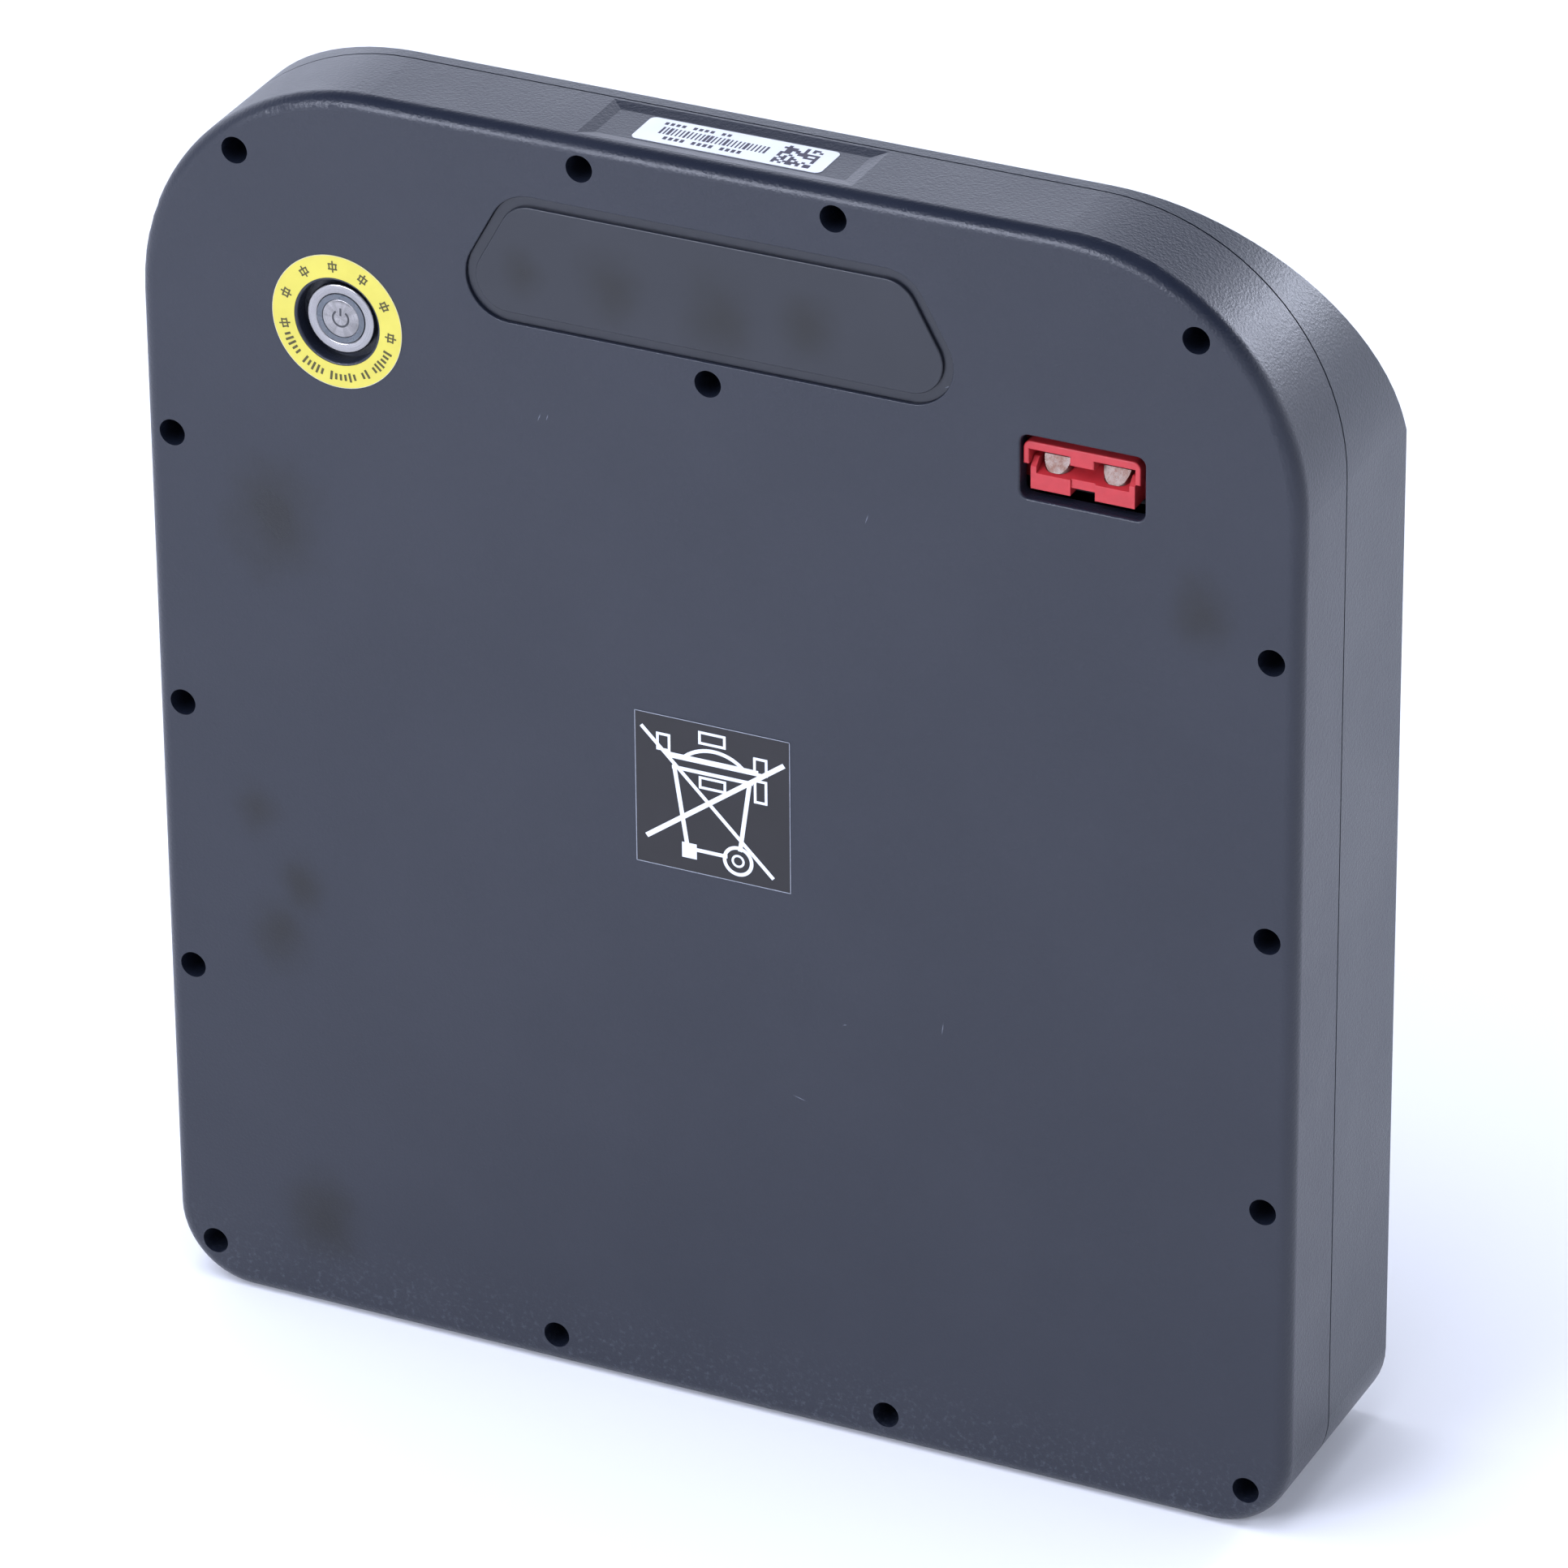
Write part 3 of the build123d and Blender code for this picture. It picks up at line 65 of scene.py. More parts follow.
LOG = logging.getLogger("battery_pack")
MM = 0.001
CASE = "case"
BUTTON = "start_button"
Colour = tuple[float, float, float]
Socket = bpy.types.NodeSocket
NOISE_LOW = 0.3
NOISE_HIGH = 0.7
INK_THICKNESS = 0.02 * MM
INK_STEP = 0.0012 * MM
SAME_PLACE = 1e-7
SHARP_ANGLE = 40.0


class Facing(Enum):
    """Which way a printed film faces, as the two directions that its print is laid out along."""

    FRONT = (Vector((1.0, 0.0, 0.0)), Vector((0.0, 0.0, 1.0)))
    TOP = (Vector((1.0, 0.0, 0.0)), Vector((0.0, 1.0, 0.0)))


# ---------------------------------------------------------------- shader building


class Graph:
    """Node tree of one finish, with short ways to add the nodes that finishes share."""

    def __init__(self, name: str) -> None:
        """Starts a material that holds only a Principled shader and its output."""
        self.material = bpy.data.materials.new(name)
        self.material.use_nodes = True
        self.tree = self.material.node_tree
        self.tree.nodes.clear()
        output = self.tree.nodes.new("ShaderNodeOutputMaterial")
        self.shader = self.tree.nodes.new("ShaderNodeBsdfPrincipled")
        self.link(self.shader.outputs["BSDF"], output.inputs["Surface"])
        self.place = self.tree.nodes.new("ShaderNodeTexCoord").outputs["Object"]

    def link(self, start: Socket, end: Socket) -> None:
        """Joins two sockets."""
        self.tree.links.new(start, end)

    def fixed(self, **values: float | Colour) -> None:
        """Sets values of the Principled shader that are the same all over."""
        for name, value in values.items():
            socket = self.shader.inputs[name.replace("_", " ")]
            is_colour = isinstance(value, tuple) and socket.type == "RGBA"
            socket.default_value = (*value, 1.0) if is_colour else value

    def moved(self, offset: Sequence[float], scale: Sequence[float], turn: float = 0.0) -> Socket:
        """Object coordinates seen from a point and stretched.

        Args:
            offset: The point of the object that becomes zero, in metres.
            scale: Factor along each axis.
            turn: Turn about Y in radians, before the stretch.

        Returns:
            The coordinates.
        """
        shift = self.tree.nodes.new("ShaderNodeMapping")
        shift.inputs["Location"].default_value = [-value for value in offset]
        self.link(self.place, shift.inputs["Vector"])
        spin = self.tree.nodes.new("ShaderNodeMapping")
        spin.inputs["Rotation"].default_value = (0.0, turn, 0.0)
        self.link(shift.outputs["Vector"], spin.inputs["Vector"])
        stretch = self.tree.nodes.new("ShaderNodeMapping")
        stretch.inputs["Scale"].default_value = scale
        self.link(spin.outputs["Vector"], stretch.inputs["Vector"])
        return stretch.outputs["Vector"]

    def noise(
        self, size: float, detail: float = 2.0, rough: float = 0.5, place: Socket | None = None
    ) -> Socket:
        """Noise whose blotches are about one size across.

        Args:
            size: Blotch size in metres, or in the units of place.
            detail: Number of finer layers.
            rough: Weight of the finer layers.
            place: Coordinates to read, or None for the object's own.

        Returns:
            The noise value, about 0.5 in the middle.
        """
        node = self.tree.nodes.new("ShaderNodeTexNoise")
        node.inputs["Scale"].default_value = 1.0 / size
        node.inputs["Detail"].default_value = detail
        node.inputs["Roughness"].default_value = rough
        self.link(place or self.place, node.inputs["Vector"])
        return node.outputs["Fac"]

    def cells(self, size: float, feature: str = "F1", place: Socket | None = None) -> Socket:
        """Distance to the nearest of scattered points about one size apart."""
        node = self.tree.nodes.new("ShaderNodeTexVoronoi")
        node.feature = feature
        node.inputs["Scale"].default_value = 1.0 / size
        self.link(place or self.place, node.inputs["Vector"])
        return node.outputs["Distance"]

    def sum(self, operation: str, *values: Socket | float) -> Socket:
        """One Math node over sockets or numbers."""
        node = self.tree.nodes.new("ShaderNodeMath")
        node.operation = operation
        for socket, value in zip(node.inputs, values):
            if isinstance(value, (int, float)):
                socket.default_value = value
            else:
                self.link(value, socket)
        return node.outputs["Value"]

    def span(self, value: Socket, low: float, high: float, start: float, end: float) -> Socket:
        """Maps value from low..high to start..end smoothly, clamped."""
        node = self.tree.nodes.new("ShaderNodeMapRange")
        node.interpolation_type = "SMOOTHSTEP"
        for socket, number in zip(list(node.inputs)[1:5], (low, high, start, end)):
            socket.default_value = number
        self.link(value, node.inputs["Value"])
        return node.outputs["Result"]

    def blend(self, factor: Socket, first: Colour | Socket, second: Colour | Socket) -> Socket:
        """Mixes two colours by a factor from 0 to 1."""
        node = self.tree.nodes.new("ShaderNodeMix")
        node.data_type = "RGBA"
        self.link(factor, node.inputs["Factor"])
        for socket, colour in ((node.inputs[6], first), (node.inputs[7], second)):
            if isinstance(colour, tuple):
                socket.default_value = (*colour, 1.0)
            else:
                self.link(colour, socket)
        return node.outputs[2]

    def bump(self, height: Socket, depth: float, under: Socket | None = None) -> Socket:
        """Bump of a real depth in metres, on top of another bump."""
        node = self.tree.nodes.new("ShaderNodeBump")
        node.inputs["Strength"].default_value = 1.0
        node.inputs["Distance"].default_value = depth
        self.link(height, node.inputs["Height"])
        if under is not None:
            self.link(under, node.inputs["Normal"])
        return node.outputs["Normal"]

    def length(self, vector: Socket) -> Socket:
        """Length of a vector."""
        node = self.tree.nodes.new("ShaderNodeVectorMath")
        node.operation = "LENGTH"
        self.link(vector, node.inputs[0])
        return node.outputs["Value"]

    def split(self, vector: Socket) -> bpy.types.NodeOutputs:
        """The X, Y and Z of a vector."""
        node = self.tree.nodes.new("ShaderNodeSeparateXYZ")
        self.link(vector, node.inputs["Vector"])
        return node.outputs

    def join(self, x: Socket, y: Socket) -> Socket:
        """Vector of two numbers, with a Z of zero."""
        node = self.tree.nodes.new("ShaderNodeCombineXYZ")
        self.link(x, node.inputs["X"])
        self.link(y, node.inputs["Y"])
        return node.outputs["Vector"]

    def use(self, **links: Socket) -> bpy.types.Material:
        """Links sockets to the Principled shader's inputs and hands over the material."""
        for name, socket in links.items():
            self.link(socket, self.shader.inputs[name.replace("_", " ")])
        return self.material


# ---------------------------------------------------------------- finishes


@dataclass(frozen=True)
class SandedPlastic:
    """Moulded plastic with a fine sand texture, smudges, scuffs and dust.

    A smudge is (across, up, size) and a scratch is (across, up, length, turn in radians).
    """

    name: str
    base: Colour
    pale: Colour
    roughness: float = 0.33
    grain: float = 0.00045
    grain_depth: float = 0.00011
    smudges: tuple[tuple[float, float, float], ...] = ()
    scratches: tuple[tuple[float, float, float, float], ...] = ()
    dust_height: float = 0.0
    mottle: float = 0.05
    gloss_spread: float = 0.03
    smudge_grain: float = 0.012
    smudge_strength: float = 0.8
    smudge_tone: float = 0.1
    smudge_gloss: float = 0.05
    scratch_width: float = 0.00022
    scratch_colour: Colour = (0.23, 0.25, 0.3)
    dust_speck: float = 0.0016
    dust_strength: float = 0.2
    dust_colour: Colour = (0.2, 0.22, 0.26)

    def material(self) -> bpy.types.Material:
        """Builds the finish.

        Returns:
            The material.
        """
        graph = Graph(self.name)
        graph.fixed(IOR=1.5, Specular_IOR_Level=0.5)
        mottle = graph.noise(self.mottle, 3.0, 0.6)
        colour = graph.blend(graph.span(mottle, 0.35, NOISE_HIGH, 0.0, 1.0), self.base, self.pale)
        rough = graph.span(
            mottle, NOISE_LOW, NOISE_HIGH,
            self.roughness - self.gloss_spread, self.roughness + self.gloss_spread,
        )
        for smudge in self.smudges:
            mask = self.smudge_mask(graph, *smudge)
            dark = tuple(value * self.smudge_tone for value in self.base)
            colour = graph.blend(mask, colour, dark)
            rough = graph.sum("SUBTRACT", rough, graph.sum("MULTIPLY", mask, self.smudge_gloss))
        for scratch in self.scratches:
            colour = graph.blend(self.scratch_mask(graph, *scratch), colour, self.scratch_colour)
        if self.dust_height:
            colour = graph.blend(self.dust_mask(graph), colour, self.dust_colour)
        fine = graph.noise(self.grain, 3.0, 0.65)
        coarse = graph.cells(self.grain * 2.2)
        height = graph.sum("ADD", graph.sum("MULTIPLY", fine, 0.7), graph.sum("MULTIPLY", coarse, 0.5))
        normal = graph.bump(height, self.grain_depth)
        return graph.use(Base_Color=colour, Roughness=rough, Normal=normal)

    def smudge_mask(self, graph: Graph, across: float, up: float, size: float) -> Socket:
        """Soft, ragged blotch on the front face.

        Args:
            graph: The finish's node tree.
            across: Its middle along X.
            up: Its middle along Z.
            size: Its reach from the middle.

        Returns:
            The mask, strongest in the middle.
        """
        reach = graph.length(graph.moved((across, CAD_BOX[0][1], up), (1.0, 1.0, 0.8)))
        edge = graph.sum("MULTIPLY", graph.noise(self.smudge_grain, 3.0), size * 0.9)
        ragged = graph.sum("ADD", reach, edge)
        return graph.span(ragged, size * 0.4, size * 1.6, self.smudge_strength, 0.0)

    def scratch_mask(
        self, graph: Graph, across: float, up: float, length: float, turn: float
    ) -> Socket:
        """Thin, slightly wavy line on the front face.

        Args:
            graph: The finish's node tree.
            across: Its middle along X.
            up: Its middle along Z.
            length: Half its length.
            turn: Its turn about Y, in radians.

        Returns:
            The mask, strongest on the line.
        """
        centre = (across, CAD_BOX[0][1], up)
        line = graph.moved(centre, (1.0 / length, 0.0, 1.0 / self.scratch_width), turn)
        wobble = graph.noise(0.35, 2.0, 0.5, line)
        return graph.span(graph.sum("ADD", graph.length(line), wobble), 0.6, 1.4, 0.55, 0.0)

    def dust_mask(self, graph: Graph) -> Socket:
        """Specks that fade out upwards from the base."""
        low = graph.span(graph.split(graph.place)["Z"], 0.0, self.dust_height, 1.0, 0.0)
        specks = graph.span(graph.noise(self.dust_speck, 4.0, 0.75), 0.5, 0.75, 0.0, self.dust_strength)
        return graph.sum("MULTIPLY", low, specks)


@dataclass(frozen=True)
class PlainFinish:
    """A moulded, printed, rubber or painted finish with mottling and a light texture."""

    name: str
    base: Colour
    other: Colour
    roughness: float
    spread: float = 0.06
    blotch: float = 0.006
    grain: float = 0.0003
    grain_depth: float = 0.000006
    metallic: float = 0.0
    coat: float = 0.0
    subsurface: float = 0.0

    def material(self) -> bpy.types.Material:
        """Builds the finish.

        Returns:
            The material.
        """
        graph = Graph(self.name)
        graph.fixed(Metallic=self.metallic, Coat_Weight=self.coat, Subsurface_Weight=self.subsurface)
        if self.subsurface:
            graph.fixed(Subsurface_Radius=(0.002, 0.0006, 0.0005))
        mottle = graph.noise(self.blotch, 4.0, 0.6)
        colour = graph.blend(graph.span(mottle, NOISE_LOW, NOISE_HIGH, 0.0, 1.0), self.base, self.other)
        rough = graph.span(
            graph.noise(self.blotch * 0.6, 3.0), NOISE_LOW, NOISE_HIGH,
            self.roughness - self.spread, self.roughness + self.spread,
        )
        normal = graph.bump(graph.noise(self.grain, 3.0, 0.6), self.grain_depth)
        return graph.use(Base_Color=colour, Roughness=rough, Normal=normal)


@dataclass(frozen=True)
class TurnedMetal:
    """Metal brushed in circles round a centre on the front, with a stretched gloss; darker radial
    sectors can be painted into its colour as a painted reflection of the brushing.
    """

    name: str
    centre: tuple[float, float, float]
    base: Colour
    other: Colour
    roughness: float
    anisotropy: float
    groove: float = 0.00007
    groove_depth: float = 0.0000025
    # painted reflection: strength, count and tone of the darker radial sectors painted into the colour
    painted_reflection_sectors: float = 0.0
    streak: float = 1.5
    reflection_sector_count: float = 1.3
    reflection_sector_tone: float = 0.45

    def material(self) -> bpy.types.Material:
        """Builds the finish.

        Returns:
            The material.
        """
        graph = Graph(self.name)
        graph.fixed(Metallic=1.0, Anisotropic=self.anisotropy)
        flat = graph.moved(self.centre, (1.0, 0.0, 1.0))
        parts = graph.split(flat)
        around = graph.sum("ARCTAN2", parts["Z"], parts["X"])
        rings = graph.sum("DIVIDE", graph.length(flat), self.groove)
        wrapped = graph.join(rings, graph.sum("MULTIPLY", around, self.streak))
        brush = graph.noise(1.0, 2.0, 0.6, wrapped)
        colour = graph.blend(graph.span(brush, NOISE_LOW, NOISE_HIGH, 0.0, 1.0), self.base, self.other)
        # Painted reflection: darker radial sectors in the base colour stand in for the fan of light and
        # dark that circular brushing reflects.
        if self.painted_reflection_sectors:
            reflection_rays = [
                graph.sum("MULTIPLY", graph.sum(operation, around), self.reflection_sector_count)
                for operation in ("COSINE", "SINE")
            ]
            spread = graph.noise(1.0, 2.0, 0.7, graph.join(*reflection_rays))
            painted_reflection_fan = graph.span(spread, 0.35, 0.65, 0.0, self.painted_reflection_sectors)
            colour = graph.blend(painted_reflection_fan, colour, tuple(value * self.reflection_sector_tone for value in self.base))
        tangent = graph.tree.nodes.new("ShaderNodeVectorMath")
        tangent.operation = "CROSS_PRODUCT"
        graph.link(flat, tangent.inputs[0])
        tangent.inputs[1].default_value = (0.0, 1.0, 0.0)
        rough = graph.span(
            brush, NOISE_LOW, NOISE_HIGH, self.roughness * 0.8, self.roughness * 1.25
        )
        normal = graph.bump(brush, self.groove_depth)
        return graph.use(
            Base_Color=colour, Roughness=rough, Normal=normal, Tangent=tangent.outputs["Vector"]
        )


@dataclass(frozen=True)
class WornPlating:
    """Silver plating worn through to copper in streaks along the sliding direction."""

    name: str
    silver: Colour
    copper: Colour
    streak: tuple[float, float, float] = (1 / 0.0007, 1 / 0.006, 1 / 0.0007)
    patch: float = 0.0035
    depth: float = 0.01 * MM

    def material(self) -> bpy.types.Material:
        """Builds the finish.

        Returns:
            The material.
        """
        graph = Graph(self.name)
        graph.fixed(Metallic=1.0)
        lines = graph.noise(1.0, 4.0, 0.7, graph.moved((0.0, 0.0, 0.0), self.streak))
        patches = graph.noise(self.patch, 3.0, 0.6)
        wear = graph.sum("MULTIPLY", graph.sum("ADD", lines, patches), 0.5)
        mask = graph.span(wear, 0.4, 0.6, 0.0, 1.0)
        colour = graph.blend(mask, self.silver, self.copper)
        rough = graph.span(lines, NOISE_LOW, NOISE_HIGH, 0.26, 0.45)
        normal = graph.bump(lines, self.depth)
        return graph.use(Base_Color=colour, Roughness=rough, Normal=normal)


@dataclass(frozen=True)
class RingPattern:
    """A pattern finish for the hidden pieces: bands, weave or traces over a base colour."""

    name: str
    base: Colour
    line: Colour
    roughness: float
    pitch: float
    stretch: tuple[float, float, float] = (1.0, 1.0, 1.0)
    metallic: float = 0.0
    depth: float = 0.00002
    spread: float = 0.08
    shade: float = 0.7

    def material(self) -> bpy.types.Material:
        """Builds the finish.

        Returns:
            The material.
        """
        graph = Graph(self.name)
        graph.fixed(Metallic=self.metallic)
        place = graph.moved((0.0, 0.0, 0.0), self.stretch)
        edges = graph.cells(self.pitch, "DISTANCE_TO_EDGE", place)
        mask = graph.span(edges, 0.02, 0.12, 1.0, 0.0)
        mottle = graph.span(graph.noise(self.pitch * 2.0, 4.0), NOISE_LOW, NOISE_HIGH, 0.0, 0.5)
        shaded = graph.blend(mottle, self.base, tuple(value * self.shade for value in self.base))
        colour = graph.blend(mask, shaded, self.line)
        rough = graph.span(
            graph.noise(self.pitch, 3.0), NOISE_LOW, NOISE_HIGH,
            self.roughness - self.spread, self.roughness + self.spread,
        )
        normal = graph.bump(edges, self.depth)
        return graph.use(Base_Color=colour, Roughness=rough, Normal=normal)


@dataclass(frozen=True)
class FloorPaint:
    """Pale, even studio floor."""

    name: str = "studio_floor_paint"
    base: Colour = (0.93, 0.935, 0.95)
    other: Colour = (0.88, 0.885, 0.9)

    def material(self) -> bpy.types.Material:
        """Builds the finish."""
        graph = Graph(self.name)
        graph.fixed(Roughness=0.8)
        tone = graph.span(graph.noise(0.8, 2.0), NOISE_LOW, NOISE_HIGH, 0.0, 0.15)
        return graph.use(Base_Color=graph.blend(tone, self.base, self.other))


# ---------------------------------------------------------------- mesh building


class Maker:
    """Turns bmeshes into pieces that ride on a body."""

    @staticmethod
    def piece(
        mesh: bmesh.types.BMesh, name: str, material: bpy.types.Material, body: str
    ) -> bpy.types.Object:
        """Writes a bmesh to an object, dresses it and rides it on a body.

        Args:
            mesh: The finished bmesh, in the shared frame. It is freed.
            name: Name of the piece.
            material: Its finish.
            body: The CAD body that it moves with.

        Returns:
            The piece.
        """
        bmesh.ops.remove_doubles(mesh, verts=mesh.verts, dist=SAME_PLACE)
        bmesh.ops.recalc_face_normals(mesh, faces=mesh.faces)
        data = bpy.data.meshes.new(name)
        mesh.to_mesh(data)
        mesh.free()
        obj = bpy.data.objects.new(name, data)
        bpy.context.scene.collection.objects.link(obj)
        data.materials.append(material)
        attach(obj, body)
        LOG.info("%s: %d faces on %s", name, len(data.polygons), body)
        return obj

    @staticmethod
    def smooth(obj: bpy.types.Object, angle: float) -> None:
        """Shades a piece smooth, but keeps edges sharper than an angle in degrees."""
        for polygon in obj.data.polygons:
            polygon.use_smooth = True
        obj.data.set_sharp_from_angle(angle=math.radians(angle))

    @staticmethod
    def spun(profile: Sequence[tuple[float, float]], centre: Vector, steps: int) -> bmesh.types.BMesh:
        """Turns a closed outline about an axis along Y.

        Args:
            profile: Corners as (radius, depth behind the front face), in metres.
            centre: A point on the axis, on the front face.
            steps: Number of steps in the full turn.

        Returns:
            The turned bmesh.
        """
        mesh = bmesh.new()
        corners = [mesh.verts.new(centre + Vector((radius, depth, 0.0))) for radius, depth in profile]
        starts_on_axis = profile[0][0] == profile[-1][0] == 0.0
        following = corners[1:] if starts_on_axis else corners[1:] + corners[:1]
        edges = [mesh.edges.new(pair) for pair in zip(corners, following)]
        bmesh.ops.spin(
            mesh, geom=corners + edges, cent=centre, axis=(0.0, 1.0, 0.0),
            angle=math.tau, steps=steps, use_merge=True, use_duplicate=False,
        )
        return mesh

    @staticmethod
    def dress(nodes: Iterable[str], material: bpy.types.Material) -> None:
        """Gives CAD nodes a finish."""
        for name in nodes:
            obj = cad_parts[name]
            obj.data.materials.clear()
            obj.data.materials.append(material)
            LOG.info("%s: dressed in %s", name, material.name)


class Print:
    """Thin ink strokes, laid out in the plane of a film and kept as one mesh."""

    def __init__(self, origin: Vector, facing: Facing, ink: float = INK_THICKNESS) -> None:
        """Starts an empty print.

        Args:
            origin: Point of the film's surface that is the print's zero.
            facing: Which way the film faces.
            ink: Thickness of the ink in metres.
        """
        self.mesh = bmesh.new()
        across, up = facing.value
        out = across.cross(up)
        turn = Matrix((across, up, out)).transposed().to_4x4()
        self.matrix = Matrix.Translation(origin) @ turn
        self.ink = ink
        self.step = 0.0

    def rise(self) -> None:
        """Makes the next stroke a hair thicker, so that crossing strokes don't share a face."""
        self.ink += self.step

    def box(self, x: float, y: float, width: float, height: float, turn: float = 0.0) -> None:
        """Lays a filled rectangle about its middle, turned by an angle in radians."""
        self.rise()
        made = bmesh.ops.create_cube(self.mesh, size=1.0)
        place = Matrix.Translation((x, y, self.ink / 2)) @ Matrix.Rotation(turn, 4, "Z")
        size = Matrix.Diagonal((width, height, self.ink, 1.0))
        bmesh.ops.transform(self.mesh, matrix=self.matrix @ place @ size, verts=made["verts"])

    def stroke(self, start: tuple[float, float], end: tuple[float, float], width: float) -> None:
        """Lays a straight stroke between two points."""
        run = Vector(end) - Vector(start)
        middle = (Vector(end) + Vector(start)) / 2
        self.box(middle.x, middle.y, run.length + width * 0.9, width, math.atan2(run.y, run.x))

    def loop(self, corners: Sequence[tuple[float, float]], width: float) -> None:
        """Lays strokes round a closed outline."""
        for start, end in zip(corners, list(corners[1:]) + [corners[0]]):
            self.stroke(start, end, width)

    def arc(
        self, x: float, y: float, radius: float, width: float,
        start: float = 0.0, sweep: float = math.tau,
    ) -> None:
        """Lays a round stroke.

        Args:
            x: Centre along the print's first axis.
            y: Centre along its second axis.
            radius: Radius at the middle of the stroke.
            width: Width of the stroke.
            start: Angle at which it starts, in radians.
            sweep: Angle that it covers, in radians.
        """
        self.rise()
        whole = sweep >= math.tau - 1e-6
        steps = max(6, round(64 * sweep / math.tau))
        section = [
            Vector((radius + side * width / 2, 0.0, height))
            for side, height in ((-1, 0.0), (1, 0.0), (1, self.ink), (-1, self.ink))
        ]
        corners = [self.mesh.verts.new(Matrix.Rotation(start, 3, "Z") @ corner) for corner in section]
        first = self.mesh.faces.new(corners) if not whole else None
        pairs = zip(corners, corners[1:] + corners[:1])
        edges = [self.mesh.edges.get(pair) or self.mesh.edges.new(pair) for pair in pairs]
        before = set(self.mesh.verts) - set(corners)
        made = bmesh.ops.spin(
            self.mesh, geom=corners + edges, cent=(0, 0, 0), axis=(0, 0, 1),
            angle=sweep, steps=steps, use_merge=whole, use_duplicate=False,
        )
        if first is not None:
            last = [item for item in made["geom_last"] if isinstance(item, bmesh.types.BMVert)]
            ring = sorted(last, key=lambda vert: self.round_section(vert, radius))
            self.mesh.faces.new(ring)
        new = [vert for vert in self.mesh.verts if vert not in before]
        bmesh.ops.transform(
            self.mesh, matrix=self.matrix @ Matrix.Translation((x, y, 0.0)), verts=new
        )

    def round_section(self, vert: bmesh.types.BMVert, radius: float) -> float:
        """Angle of a corner round the middle of a round stroke's section."""
        return math.atan2(vert.co.z - self.ink / 2, vert.co.xy.length - radius)

    def finish(self, name: str, material: bpy.types.Material, body: str = CASE) -> bpy.types.Object:
        """Makes the print a piece."""
        return Maker.piece(self.mesh, name, material, body)


# ---------------------------------------------------------------- sub-assemblies


@dataclass
class CaseShells:
    """Front cover, rear shell, their gasket and screws, and the blank in the hand grip.

    Places on the front face are in metres, from the middle of the base.
    """

    smudges: tuple[tuple[float, float, float], ...] = (
        (-0.142, 0.2689, 0.02),
        (-0.1441, 0.1287, 0.012),
        (-0.151, 0.1688, 0.009),
        (-0.1335, 0.0319, 0.016),
        (-0.1365, 0.146, 0.01),
        (0.1536, 0.300, 0.012),
    )
    blank_smudges: tuple[tuple[float, float, float], ...] = (
        (-0.030, 0.3655, 0.012),
        (0.004, 0.3615, 0.014),
        (0.031, 0.3650, 0.011),
        (-0.058, 0.3640, 0.008),
    )
    blank_scratches: tuple[tuple[float, float, float, float], ...] = ((0.0745, 0.3545, 0.0012, 0.5),)
    scratches: tuple[tuple[float, float, float, float], ...] = (
        (-0.0541, 0.319, 0.0018, 1.2),
        (-0.0515, 0.3195, 0.0014, 1.3),
        (0.0498, 0.3081, 0.0022, 1.25),
        (0.0272, 0.1123, 0.0030, -0.25),
        (0.0734, 0.1468, 0.0026, 1.45),
        (0.042, 0.1406, 0.0009, 0.3),
    )

    def build(self) -> None:
        """Dresses the shells and what closes them."""
        shell = SandedPlastic(
            "case_plastic", (0.0095, 0.0125, 0.0225), (0.0115, 0.0145, 0.025),
            smudges=self.smudges, scratches=self.scratches, dust_height=0.035,
        )
        rear = SandedPlastic(
            "rear_shell_plastic", (0.0165, 0.0205, 0.0295), (0.0185, 0.0228, 0.033), dust_height=0.03
        )
        blank = SandedPlastic(
            "blank_plastic", (0.0095, 0.0115, 0.018), (0.0125, 0.0145, 0.022),
            roughness=0.33, grain_depth=0.000012,
            smudges=self.blank_smudges, scratches=self.blank_scratches,
        )
        rubber = PlainFinish("gasket_rubber", (0.012, 0.012, 0.014), (0.018, 0.018, 0.02), 0.75)
        oxide = PlainFinish(
            "black_oxide", (0.02, 0.02, 0.022), (0.035, 0.033, 0.032), 0.45, metallic=1.0, blotch=0.002
        )
        Maker.dress(["front_cover"], shell.material())
        Maker.dress(["rear_shell"], rear.material())
        Maker.dress(["grip_blank"], blank.material())
        Maker.dress(["case_gasket", "grip_blank_seal", "button_gasket"], rubber.material())
        Maker.dress(["case_screws"], oxide.material())


